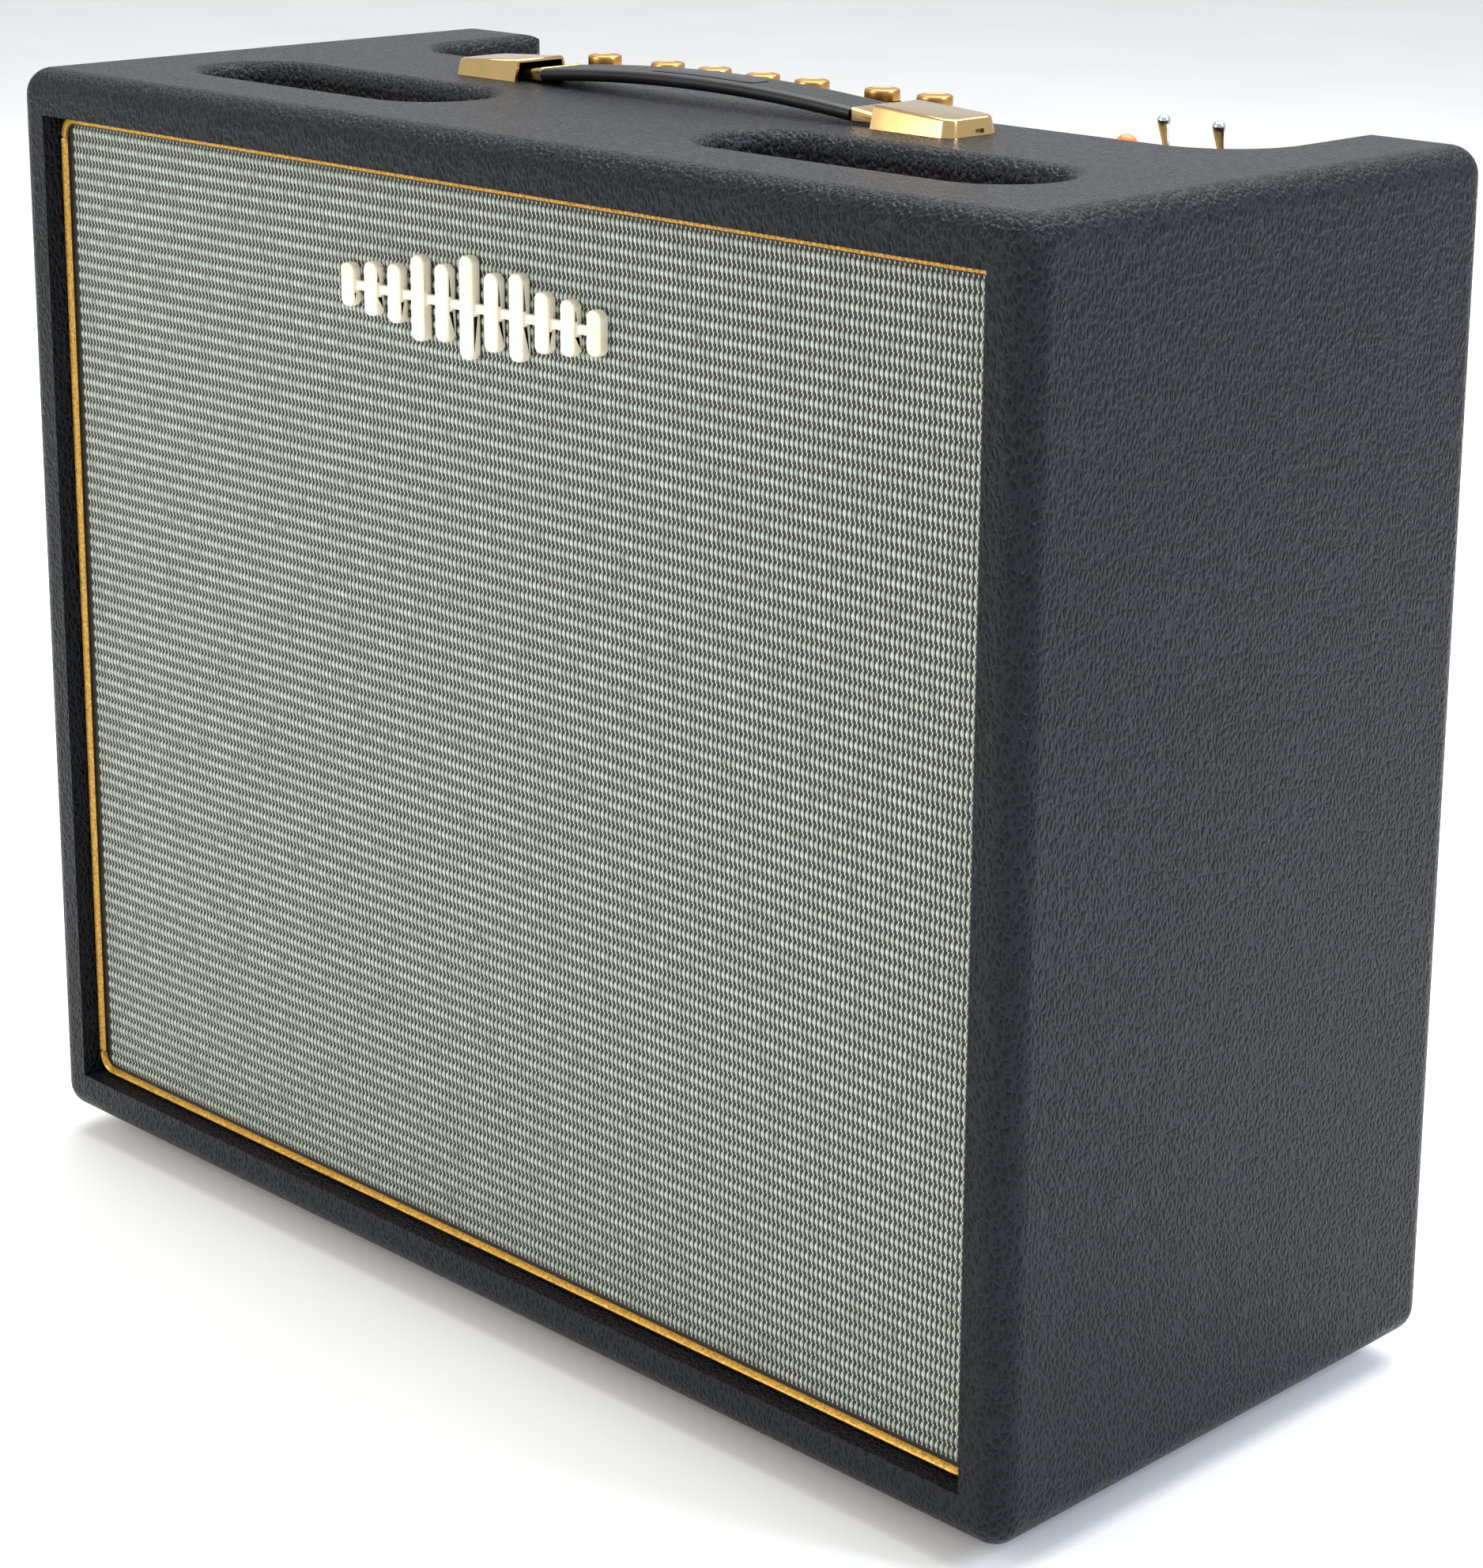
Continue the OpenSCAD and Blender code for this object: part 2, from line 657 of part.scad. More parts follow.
module toggle_bushings() color("silver") for (i = [0, 1])
    translate([power_x + i * switch_gap, row_y, panel_z]) {
        difference() {
            union() {
                translate([0, 0, -panel_t - sheet_t - 1]) cylinder(h = toggle_bush_h + 4, d = toggle_bush_d);
                cylinder(h = 3, d = 17, $fn = 6);
            }
            translate([0, 0, pivot_z - panel_z - 5]) cylinder(h = 20, d = socket_d);
        }
        translate([-9, -13, -panel_t - sheet_t - 22]) cube([18, 26, 22]);
    }

// Bat lever on its ball, leaning to the front, with a hinge pin through the ball
module toggle_lever(i) color("silver") translate([power_x + i * switch_gap, row_y, pivot_z]) {
    neck = lever_l - 3;
    rotate([0, 90, 0]) cylinder(h = socket_d - 2 * face_gap, d = 2, center = true);
    rotate([lever_lean, 0, 0]) rotate_extrude() {
        intersection() {
            circle(d = ball_d);
            translate([0, -5]) square([5, 10]);
        }
        polygon([[0, 0], [1.4, 0], [1.5, 6], [2.9, neck - 1], [3, neck], [0, neck]]);
        intersection() {
            translate([0, neck]) circle(3);
            translate([0, neck - 1]) square([5, 5]);
        }
    }
}
module toggle_power() toggle_lever(0);
module toggle_standby() toggle_lever(1);

module potentiometers() color("gray") for (i = [0 : 6])
    translate([knob_x(i), row_y, 0]) difference() {
        union() {
            translate([0, 0, in_top - sheet_t - pot_h]) cylinder(h = pot_h, d = pot_d);
            translate([0, 0, in_top - sheet_t - 1]) cylinder(h = panel_z + bush_h - in_top + sheet_t + 1,
                d = bush_d);
            translate([0, 0, panel_z]) cylinder(h = nut_h, d = 11.5, $fn = 6);
        }
        low = i == 0 ? in_top - sheet_t - pot_h - eps : in_top - sheet_t - pot_h + 1.5;
        translate([0, 0, low]) cylinder(h = 40, d = shaft_d + 2 * shaft_gap);
    }

// Plunger of the gain control's pull switch, on the end of its shaft
module pull_plunger() color("white") translate([knob_x(0), row_y, plunger_z])
    cylinder(h = plunger_t, d = 10);

// One knob with its shaft: hollow below to clear the bush and nut
module knob(i) color([0.07, 0.07, 0.07]) translate([knob_x(i), row_y, 0]) {
    low = i == 0 ? plunger_z + plunger_t + face_gap : in_top - sheet_t - pot_h + 2;
    rotate_extrude() difference() {
        polygon([[0, knob_z], [knob_d / 2, knob_z], [knob_d / 2, knob_z + 3],
            [knob_cap_d / 2 + 0.5, knob_z + knob_body_h], [0, knob_z + knob_body_h]]);
        square([7.2, panel_z + bush_h + 1]);
    }
    translate([0, 0, low]) cylinder(h = knob_z + knob_body_h - 1 - low, d = shaft_d);
}
module knob_gain() knob(0);
module knob_tilt() knob(1);
module knob_bass() knob(2);
module knob_middle() knob(3);
module knob_treble() knob(4);
module knob_presence() knob(5);
module knob_master() knob(6);

// Metal cap on a knob, with a rounded rim
module knob_cap(i) color("goldenrod") translate([knob_x(i), row_y, knob_z + knob_body_h])
    rotate_extrude() {
        r = knob_cap_d / 2;
        square([r - 1, knob_cap_h]);
        square([r, knob_cap_h - 1]);
        translate([r - 1, knob_cap_h - 1]) circle(1);
    }
module cap_gain() knob_cap(0);
module cap_tilt() knob_cap(1);
module cap_bass() knob_cap(2);
module cap_middle() knob_cap(3);
module cap_treble() knob_cap(4);
module cap_presence() knob_cap(5);
module cap_master() knob_cap(6);

// Circuit board below the controls, with its capacitors on the underside
module circuit_board() color("darkgreen") {
    x0 = knob_x(0) - 16;
    x1 = lamp_x - 12;
    y0 = chassis_y0 + 6;
    span([x0, y0, pcb_z - pcb_t], [x1, row_y + 16, pcb_z]);
    for (i = [0 : 4]) translate([x0 + 22 + i * 58, y0 + 14, pcb_z - pcb_t - 22])
        cylinder(h = 22, d = i % 2 == 0 ? 18 : 12);
    for (i = [0 : 3]) span([x0 + 44 + i * 58, y0 + 6, pcb_z - pcb_t - 9],
        [x0 + 60 + i * 58, y0 + 24, pcb_z - pcb_t]);
}

// Transformer: laminated core on edge, wound bobbin through it, mounting flange on the chassis
module transformer(x, w, d, h) translate([x, hang_y, chassis_z]) {
    span([-w / 2, -d / 4, -h], [w / 2, d / 4, -2]);
    span([-w / 2 + 11, -d / 2, -h + 10], [w / 2 - 11, d / 2, -12]);
    span([-w / 2 - 7, -d / 4 - 3, -2], [w / 2 + 7, d / 4 + 3, 0]);
}
module mains_transformer() color("dimgray") transformer(mains_tx_x, 76, 62, 66);
module output_transformer() color("dimgray") transformer(output_tx_x, 66, 54, 56);

module valve_sockets() color([0.2, 0.18, 0.15]) {
    for (x = power_valve_x) translate([x, hang_y, chassis_z - 10]) cylinder(h = 10, d = 34);
    for (x = preamp_valve_x) translate([x, hang_y, chassis_z - 8]) cylinder(h = 8, d = 24);
}

// A valve hangs below its socket: base, glass bulb and domed end
module valve(d, base_d, base_h, glass_h) {
    translate([0, 0, -base_h]) cylinder(h = base_h, d = base_d);
    translate([0, 0, -base_h - glass_h]) rotate_extrude() {
        translate([0, d * 0.35]) square([d / 2, glass_h - d * 0.35]);
        square([d * 0.3, glass_h]);
        intersection() {
            translate([d / 2 - d * 0.35, d * 0.35]) circle(d * 0.35);
            square([d / 2, d * 0.35]);
        }
    }
}
module preamp_valves() color([0.8, 0.85, 0.9])
    for (x = preamp_valve_x) translate([x, hang_y, chassis_z - 8]) valve(21, 18, 2, 46);
module power_valves() color([0.8, 0.85, 0.9])
    for (x = power_valve_x) translate([x, hang_y, chassis_z - 10]) valve(32, 33, 14, 68);

// Mains inlet: rectangular body with a pin recess that faces the rear
module mains_inlet() color([0.08, 0.08, 0.08]) translate([inlet_x, chassis_y1 + panel_t, rear_jack_z]) {
    difference() {
        union() {
            span([-14, -24, -10.5], [14, 1, 10.5]);
            span([-17, 0, -13.5], [17, 3, 13.5]);
        }
        span([-12, -15, -8.5], [12, 4, 8.5]);
    }
    for (p = [[-7, 0], [0, 2.5], [7, 0]])
        translate([p[0] - 1, -16, p[1] - 2.5]) cube([2, 14, 5]);
}

// ---------------------------------------------------------------- back

module upper_back_panel() color([0.16, 0.17, 0.18]) difference() {
    span([-in_x + 1, back_y0, upper_z0], [in_x - 1, back_y1, upper_z1]);
    span([-vent_w / 2 + vent_rim, back_y0 - eps, vent_z - vent_h / 2 + vent_rim],
        [vent_w / 2 - vent_rim, back_y1 + eps, vent_z + vent_h / 2 - vent_rim]);
}

module vent_grille() color([0.2, 0.2, 0.2]) difference() {
    span([-vent_w / 2, back_y1, vent_z - vent_h / 2], [vent_w / 2, back_y1 + vent_t, vent_z + vent_h / 2]);
    rows = floor((vent_h - 2 * vent_rim - 6) / 12);
    cols = floor((vent_w - 2 * vent_rim - 8) / 36);
    for (r = [0 : rows], c = [0 : cols - 1])
        translate([(c - (cols - 1) / 2) * 36 - 14, back_y1 - eps, vent_z + (r - rows / 2) * 12 - 2.5])
            cube([28, vent_t + 2 * eps, 5]);
}

module lower_back_panel() color([0.16, 0.17, 0.18])
    span([-in_x + 1, back_y0, in_bot + 1], [in_x - 1, back_y1, lower_z1]);

// ---------------------------------------------------------------- speaker

module speaker_basket() color("dimgray") speaker_axis() difference() {
    fr = flange_d / 2;
    mr = magnet_d / 2;
    web = 1.8;
    union() {
        rotate_extrude() {
            translate([basket_r, 0]) square([fr - basket_r, flange_t]);
            polygon([[basket_r, 0], [basket_r + web, 0], [basket_r + web, basket_step],
                [mr + 2, basket_h], [36, basket_h], [36, basket_h - 3], [mr, basket_h - 3],
                [basket_r, basket_step]]);
            translate([mr - 2, shelf_w]) square([12, 2]);
        }
        // terminal strip on one leg, for the lead
        span([-terminal_r, -9, 40], [-terminal_r + 17, 9, 46]);
    }
    for (i = [0 : 5]) rotate([0, 0, 60 * i + 30])
        translate([60, -26, basket_step + 5]) cube([120, 52, shelf_w - basket_step - 10]);
    for (i = [0 : bolt_count - 1]) rotate([0, 0, 22.5 + 45 * i])
        translate([speaker_pcd / 2, 0, -eps]) cylinder(h = flange_t + 2 * eps, d = 5.6);
}

module ring(r0, r1, z0, z1) rotate_extrude() translate([r0, z0]) square([r1 - r0, z1 - z0]);

module speaker_gasket() color([0.25, 0.2, 0.15]) speaker_axis()
    ring(speaker_pcd / 2 - 1.8 - 4, flange_d / 2, -gasket_t, 0);

module magnet() color([0.15, 0.15, 0.16]) speaker_axis()
    ring(36, magnet_d / 2, basket_h + plate_t, basket_h + plate_t + magnet_t);

// Front plate, and back plate with its pole piece
module motor_plates() color("silver") speaker_axis() {
    back = basket_h + plate_t + magnet_t;
    ring(coil_d / 2 + pole_gap, motor_r, basket_h, basket_h + plate_t);
    pole_r = coil_d / 2 - coil_t - pole_gap;
    translate([0, 0, back]) cylinder(h = plate_t, r = motor_r);
    translate([0, 0, basket_h]) cylinder(h = back - basket_h + 1, r = pole_r);
}

module cone() color([0.1, 0.1, 0.1]) speaker_axis() rotate_extrude()
    polygon([[coil_d / 2 + 0.1, cone_w1], [cone_r, cone_w0], [cone_r, cone_w0 + cone_t],
        [coil_d / 2 + 0.1, cone_w1 + cone_t + 0.4]]);

module dust_cap() color([0.1, 0.1, 0.1]) speaker_axis() {
    r = 38;
    rise = 13;
    big = (r * r + rise * rise) / (2 * rise);
    seat = cone_w1 - (r - coil_d / 2) * (cone_w1 - cone_w0) / (cone_r - coil_d / 2) - 0.3;
    rotate_extrude() translate([0, seat]) intersection() {
        difference() {
            translate([0, big - rise]) circle(big);
            translate([0, big - rise + 0.8]) circle(big);
        }
        translate([0, -rise - 1]) square([r, rise + 1]);
    }
}

module voice_coil() color("orange") speaker_axis()
    ring(coil_d / 2 - coil_t, coil_d / 2, cone_w1 - 6, basket_h + plate_t + 2);

module surround() color([0.12, 0.12, 0.12]) speaker_axis() rotate_extrude() {
    r1 = basket_r - face_gap;
    mid = (cone_r + r1) / 2;
    difference() {
        translate([mid, cone_w0]) circle((r1 - cone_r) / 2);
        translate([mid, cone_w0]) circle((r1 - cone_r) / 2 - 0.8);
        translate([cone_r - 5, cone_w0]) square([40, 20]);
    }
    translate([r1 - 0.8, -0.8]) square([0.8, cone_w0 + 0.8]);
    translate([r1 - 0.8, -0.8]) square([5, 0.8]);
}

// Spider: flat corrugated disc behind the cone
module spider() color("goldenrod") speaker_axis() difference() {
    ring(coil_d / 2 + 0.2, magnet_d / 2 + 4, shelf_w - 2, shelf_w);
    for (r = [30 : 8 : 62]) {
        ring(r, r + 3, shelf_w - 3, shelf_w - 1.2);
        ring(r + 4, r + 7, shelf_w - 0.8, shelf_w + 1);
    }
}

// Speaker lead: from the chassis's underside to the basket, held at both ends; its drop follows
// the height of the speaker's centre
lead_d = 5;
lead_route = [[-236, 66, 0], [-236, 66, -14], [-235, 63, -34], [-231, 55, -58], [-224, 41, -82],
    [-214, 23, -104], [-201, 3, -124], [-187, -18, -142], [-172, -37, -156], [-156, -51, -166],
    [-142, -58, -170], [-131, -60.5, -171], [-122, -60.5, -171]];

function unit(v) = v / norm(v);
function lead_dir(p, i) = unit(p[min(i + 1, len(p) - 1)] - p[max(i - 1, 0)]);
function lead_ring(p, i, r, n) = let (t = lead_dir(p, i), u = unit(cross(t, [0, 1, 0.3])), v = cross(t, u))
    [for (k = [0 : n - 1]) p[i] + r * (cos(360 * k / n) * u + sin(360 * k / n) * v)];

module sweep(p, r, n) {
    rings = [for (i = [0 : len(p) - 1]) each lead_ring(p, i, r, n)];
    last = (len(p) - 1) * n;
    sides = [for (i = [0 : len(p) - 2], k = [0 : n - 1]) let (a = i * n + k, b = i * n + (k + 1) % n)
        each [[a, b, b + n], [a, b + n, a + n]]];
    ends = [[for (k = [n - 1 : -1 : 0]) k], [for (k = [0 : n - 1]) last + k]];
    polyhedron(points = rings, faces = concat(sides, ends), convexity = 6);
}

module speaker_lead() color([0.1, 0.1, 0.1])
    let (drop = (chassis_z - speaker_z) / -lead_route[len(lead_route) - 1][2])
        sweep([for (q = lead_route) [q[0], q[1], chassis_z + drop * q[2]]], lead_d / 2, 8);

// ---------------------------------------------------------------- assembly

cabinet_top();
cabinet_bottom();
cabinet_left();
cabinet_right();
vinyl_covering();
cleats();
baffle_board();
grille_cloth();
piping();
emblem();
feet();
wood_screws();
machine_screws();
handle_cap_left();
handle_cap_right();
handle_strap();
strap_ferrules();
chassis();
control_panel();
jack_sockets();
lamp_lens();
toggle_bushings();
toggle_power();
toggle_standby();
potentiometers();
pull_plunger();
circuit_board();
mains_transformer();
output_transformer();
valve_sockets();
preamp_valves();
power_valves();
mains_inlet();
upper_back_panel();
vent_grille();
lower_back_panel();
speaker_basket();
speaker_gasket();
magnet();
motor_plates();
cone();
dust_cap();
voice_coil();
surround();
spider();
speaker_lead();
knob_gain();
knob_tilt();
knob_bass();
knob_middle();
knob_treble();
knob_presence();
knob_master();
cap_gain();
cap_tilt();
cap_bass();
cap_middle();
cap_treble();
cap_presence();
cap_master();
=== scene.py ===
# Guitar combo amplifier, put together in the order in which it is built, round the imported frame.
import math

import bpy
from mathutils import Matrix, Vector


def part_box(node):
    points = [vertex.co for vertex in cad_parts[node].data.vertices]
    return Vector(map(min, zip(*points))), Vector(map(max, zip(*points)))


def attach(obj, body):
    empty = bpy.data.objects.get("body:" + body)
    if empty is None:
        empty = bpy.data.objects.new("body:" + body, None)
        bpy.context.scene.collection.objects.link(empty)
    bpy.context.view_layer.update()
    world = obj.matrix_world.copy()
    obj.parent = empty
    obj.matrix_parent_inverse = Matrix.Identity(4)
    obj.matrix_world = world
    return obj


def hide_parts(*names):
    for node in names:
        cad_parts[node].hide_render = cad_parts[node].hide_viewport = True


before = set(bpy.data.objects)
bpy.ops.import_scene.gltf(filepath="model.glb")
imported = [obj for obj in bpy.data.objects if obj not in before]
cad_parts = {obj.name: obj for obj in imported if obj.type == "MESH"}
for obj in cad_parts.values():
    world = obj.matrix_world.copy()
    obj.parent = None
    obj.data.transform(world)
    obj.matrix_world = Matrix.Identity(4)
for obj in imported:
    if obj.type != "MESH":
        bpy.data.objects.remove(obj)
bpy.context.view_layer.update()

# ---------------------------------------------------------------- camera, floor and lights
# A studio set: a pale seamless floor, a wide soft box overhead, one large panel on each side.
# The camera stands off the front right corner, level with the top third of the cabinet.
MM = 0.001
camera_data = bpy.data.cameras.new("studio_camera")
camera_data.lens = 81.64
camera_data.sensor_width = 36
camera_data.shift_y = -0.13
camera_data.clip_start = 0.05
camera_data.clip_end = 60
camera = bpy.data.objects.new("studio_camera", camera_data)
camera.matrix_world = (
    Matrix.Translation((1.0649, -1.0371, 0.6958))
    @ Matrix.Rotation(math.radians(45.01), 4, "Z")
    @ Matrix.Rotation(math.radians(90 - 14.695), 4, "X")
    @ Matrix.Rotation(math.radians(0.339), 4, "Z")
)
bpy.context.scene.collection.objects.link(camera)
bpy.context.scene.camera = camera
bpy.context.scene.view_settings.view_transform = "Standard"


def srgb(code):
    """The linear colour of an sRGB hex value."""
    parts = [int(code[i : i + 2], 16) / 255 for i in (1, 3, 5)]
    return (*(c / 12.92 if c <= 0.04045 else ((c + 0.055) / 1.055) ** 2.4 for c in parts), 1.0)


def finish(name, colour, **sockets):
    """A new material with these constants on its shader; returns it with its tree and shader."""
    material = bpy.data.materials.new(name)
    material.use_nodes = True
    shader = material.node_tree.nodes["Principled BSDF"]
    shader.inputs["Base Color"].default_value = srgb(colour)
    for socket, value in sockets.items():
        shader.inputs[socket.replace("_", " ")].default_value = value
    return material, material.node_tree, shader


def add(tree, kind, inputs=None, stops=None, to=None, **settings):
    """Adds one node with its settings, values and links; returns its first live output."""
    made = tree.nodes.new("ShaderNode" + kind)
    for setting, value in settings.items():
        setattr(made, setting, value)
    for key, value in (inputs or {}).items():
        if isinstance(value, bpy.types.NodeSocket):
            tree.links.new(value, made.inputs[key])
        else:
            made.inputs[key].default_value = value
    if stops:
        ramp = made.color_ramp
        while len(ramp.elements) < len(stops):
            ramp.elements.new(1.0)
        for element, (place, colour) in zip(ramp.elements, stops):
            element.position, element.color = place, srgb(colour)
    result = next(o for o in made.outputs if o.enabled)
    if to:
        tree.links.new(result, to)
    return result


def coordinates(tree, kind="Object"):
    return add(tree, "TexCoord").node.outputs[kind]


def tint(tree, shader, pattern, stops):
    """Colours the shader by a ramp over the pattern."""
    add(tree, "ValToRGB", {"Fac": pattern}, stops=stops, to=shader.inputs["Base Color"])


def gloss(tree, shader, pattern, low, high):
    """Varies the roughness with the pattern."""
    add(tree, "MapRange", {"Value": pattern, "To Min": low, "To Max": high}, to=shader.inputs["Roughness"])


def relief_of(tree, shader, pattern, depth, strength):
    """Raises the surface by the pattern, depth in mm."""
    add(tree, "Bump", {"Height": pattern, "Distance": depth * MM, "Strength": strength},
        to=shader.inputs["Normal"])


def soft_panel(name, place, target, size, power, tint):
    data = bpy.data.lights.new(name, "AREA")
    data.shape, data.size, data.size_y = "RECTANGLE", *size
    data.energy, data.color = power, srgb(tint)[:3]
    light = bpy.data.objects.new(name, data)
    light.location = place
    light.rotation_euler = (Vector(target) - Vector(place)).to_track_quat("-Z", "Y").to_euler()
    bpy.context.scene.collection.objects.link(light)


soft_panel("overhead_panel", (-0.2, 0.9, 2.8), (0, 0.2, 0.0), (3.2, 3.0), 125, "#fffdf8")
soft_panel("front_panel", (-1.2, -2.6, 1.6), (0, 0, 0.3), (1.6, 1.6), 50, "#fffaf2")
soft_panel("right_panel", (2.6, 0.9, 1.9), (0.3, 0, 0.3), (0.7, 1.0), 60, "#e2ebff")

world = bpy.data.worlds.new("studio_world")
bpy.context.scene.world = world
world.use_nodes = True
world.node_tree.nodes["Background"].inputs["Color"].default_value = srgb("#f3f5f8")
world.node_tree.nodes["Background"].inputs["Strength"].default_value = 0.85

bpy.ops.object.select_all(action="DESELECT")
bpy.ops.mesh.primitive_plane_add(size=30, location=(0, 0, 0))
floor = bpy.context.active_object
floor.name = "studio_floor"
paper, tree, shader = finish("matt_paper", "#f7f7f6", Roughness=0.9)
add(tree, "TexNoise", {"Vector": coordinates(tree), "Scale": 3.0}).node.name = "paper_clouds"
add(tree, "ValToRGB", {"Fac": tree.nodes["paper_clouds"].outputs[0]},
    stops=[(0.3, "#f5f5f4"), (0.7, "#f9f9f8")], to=shader.inputs["Base Color"])
floor.data.materials.append(paper)

# ---------------------------------------------------------------- plywood cabinet boards
# 18 mm birch plywood, finger-jointed and glued, raw on the inside. Rotary-cut veneer has a
# broad wavy figure; the plies show as fine light and dark lines wherever a board is cut.
box_low, box_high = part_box("vinyl_covering")
half_w, half_d = box_high.x, box_high.y
foot_top, cab_top = box_low.z, box_high.z
mid_z = (foot_top + cab_top) / 2


def dress(node, *materials, choose=None):
    """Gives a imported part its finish, and smooth shading that keeps its real edges."""
    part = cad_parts[node]
    part.data.materials.clear()
    for material in materials:
        part.data.materials.append(material)
    for face in part.data.polygons:
        face.use_smooth = True
        face.material_index = choose(face) if choose else 0
    weld = part.modifiers.new("weld", "WELD")
    weld.merge_threshold = 0.002 * MM
    split = part.modifiers.new("edges", "EDGE_SPLIT")
    split.split_angle = math.radians(32)
    even = part.modifiers.new("even_shading", "WEIGHTED_NORMAL")
    even.weight = 100
    return part


birch, tree, shader = finish("birch_plywood", "#c9a877", Roughness=0.62)
at = coordinates(tree)
long_grain = add(tree, "Mapping", {"Vector": at, "Scale": (3, 40, 40)})
wander = add(tree, "TexNoise", {"Vector": long_grain, "Scale": 1.6, "Detail": 4, "Distortion": 1.2})
pores = add(tree, "TexNoise", {"Vector": long_grain, "Scale": 14, "Detail": 5})
figure = add(tree, "Math", {0: wander, 1: pores}, operation="ADD")
add(tree, "ValToRGB", {"Fac": add(tree, "Math", {0: figure, 1: 0.5}, operation="MULTIPLY")},
    stops=[(0.3, "#a98352"), (0.5, "#c8a572"), (0.72, "#dcc097")], to=shader.inputs["Base Color"])
relief_of(tree, shader, pores, 0.2, 0.5)
for board in ("cabinet_top", "cabinet_bottom", "cabinet_left", "cabinet_right", "baffle_board"):
    dress(board, birch)

# ---------------------------------------------------------------- battens
# Sawn softwood battens, glued and screwed into the corners, that carry the baffle and the backs.
spruce, tree, shader = finish("sawn_spruce", "#d3b487", Roughness=0.75)
at = add(tree, "Mapping", {"Vector": coordinates(tree), "Scale": (60, 60, 5)})
rings = add(tree, "TexNoise", {"Vector": at, "Scale": 2.2, "Detail": 6, "Distortion": 0.4})
tint(tree, shader, rings, [(0.35, "#b98f5c"), (0.6, "#dcc296")])
relief_of(tree, shader, rings, 0.4, 0.6)
dress("cleats", spruce)

# ---------------------------------------------------------------- vinyl covering
# Cloth-backed PVC with an embossed levant grain, 1 mm thick, glued on and mitred at the corners
# of the front lip. Each grain is a pebble about 2 mm across between fine creases, drawn out
# upwards on the walls; the film itself is satin, so it greys where the light grazes it.
levant, tree, shader = finish("levant_vinyl", "#14151a", Roughness=0.36, IOR=1.5)
shader.inputs["Specular IOR Level"].default_value = 0.14
at = coordinates(tree)
drawn = add(tree, "Mapping", {"Vector": at, "Scale": (1, 1, 0.62)})
bent = add(tree, "TexNoise", {"Vector": drawn, "Scale": 260, "Detail": 2}).node.outputs["Color"]
bent = add(tree, "VectorMath", {0: bent, 1: (0.0016, 0.0016, 0.0016)}, operation="MULTIPLY")
bent = add(tree, "VectorMath", {0: drawn, 1: bent}, operation="ADD")
crease = add(tree, "TexVoronoi", {"Vector": bent, "Scale": 400}, feature="DISTANCE_TO_EDGE")
pebble = add(tree, "MapRange", {"Value": crease, "From Max": 0.32}, interpolation_type="SMOOTHSTEP")
fine = add(tree, "TexNoise", {"Vector": drawn, "Scale": 1500, "Detail": 3})
relief = add(tree, "Math", {0: fine, 1: 0.35, 2: pebble}, operation="MULTIPLY_ADD")
# the mitre seams: where |x| - half width equals |z - middle| - half height, on the front lip
part_of = add(tree, "SeparateXYZ", {0: at})
side = add(tree, "Math", {0: part_of.node.outputs["X"]}, operation="ABSOLUTE")
up = add(tree, "Math", {0: part_of.node.outputs["Z"], 1: mid_z}, operation="SUBTRACT")
up = add(tree, "Math", {0: up}, operation="ABSOLUTE")
across = add(tree, "Math", {0: side, 1: up}, operation="SUBTRACT")
across = add(tree, "Math", {0: across, 1: half_w - (cab_top - mid_z)}, operation="SUBTRACT")
across = add(tree, "Math", {0: across}, operation="ABSOLUTE")
seam = add(tree, "MapRange", {"Value": across, "From Min": 0.15 * MM, "From Max": 0.7 * MM})
behind = add(tree, "Math", {0: part_of.node.outputs["Y"], 1: -half_d + 14 * MM}, operation="GREATER_THAN")
seam = add(tree, "Math", {0: seam, 1: behind}, operation="MAXIMUM")
relief = add(tree, "Math", {0: relief, 1: seam}, operation="MULTIPLY")
tone = add(tree, "Math", {0: pebble, 1: seam}, operation="MULTIPLY")
cloud = add(tree, "TexNoise", {"Vector": at, "Scale": 9, "Detail": 2})
tone = add(tree, "Math", {0: tone, 1: 0.75, 2: add(tree, "Math", {0: cloud, 1: 0.25}, operation="MULTIPLY")},
           operation="MULTIPLY_ADD")
# the creases and the mitre seams take the lightest colour: a painted highlight of their edges catching the
# light, over the dark pebbles; the cloud only adds random tone
tint(tree, shader, tone, [(0.05, "#1f2127"), (0.35, "#131419"), (1.0, "#0c0d10")])
gloss(tree, shader, fine, 0.26, 0.44)
relief_of(tree, shader, relief, 0.55, 1.0)
dress("vinyl_covering", levant)

# ---------------------------------------------------------------- grille cloth
# Woven speaker cloth: a black ground, stretched over the baffle and stapled behind it, with a
# pale float of plastic-coated yarn every 2.5 mm. The floats stand in rows 5.4 mm apart, each
# 3.8 mm tall; between two rows the yarn dives under and shows as a thin upright thread.
cloth_low, cloth_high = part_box("grille_cloth")
ring_low, ring_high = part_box("piping")
weave_half = Vector((274.5, 0, 225.4)) * MM
float_pitch, row_pitch = 2.46 * MM, 5.43 * MM
columns = int(2 * weave_half.x / float_pitch)
rows = int(2 * weave_half.z / row_pitch)
face_y = cloth_low.y

ground, tree, shader = finish("black_grille_ground", "#1a1a19", Roughness=0.85)
shader.inputs["Sheen Weight"].default_value = 0.2
at = coordinates(tree)
part_of = add(tree, "SeparateXYZ", {0: at})
row = add(tree, "Math", {0: part_of.node.outputs["Z"], 1: mid_z}, operation="SUBTRACT")
row = add(tree, "Math", {0: row, 1: 1 / row_pitch, 2: 0.5 if rows % 2 else 0.0}, operation="MULTIPLY_ADD")
row = add(tree, "Math", {0: row}, operation="FRACT")
row = add(tree, "Math", {0: row, 1: 0.5}, operation="SUBTRACT")
column = add(tree, "Math", {0: part_of.node.outputs["X"], 1: 1 / float_pitch,
                            2: 0.5 if columns % 2 else 0.0}, operation="MULTIPLY_ADD")
column = add(tree, "Math", {0: row, 1: -0.25, 2: column}, operation="MULTIPLY_ADD")  # the threads slant
column = add(tree, "Math", {0: column}, operation="FRACT")
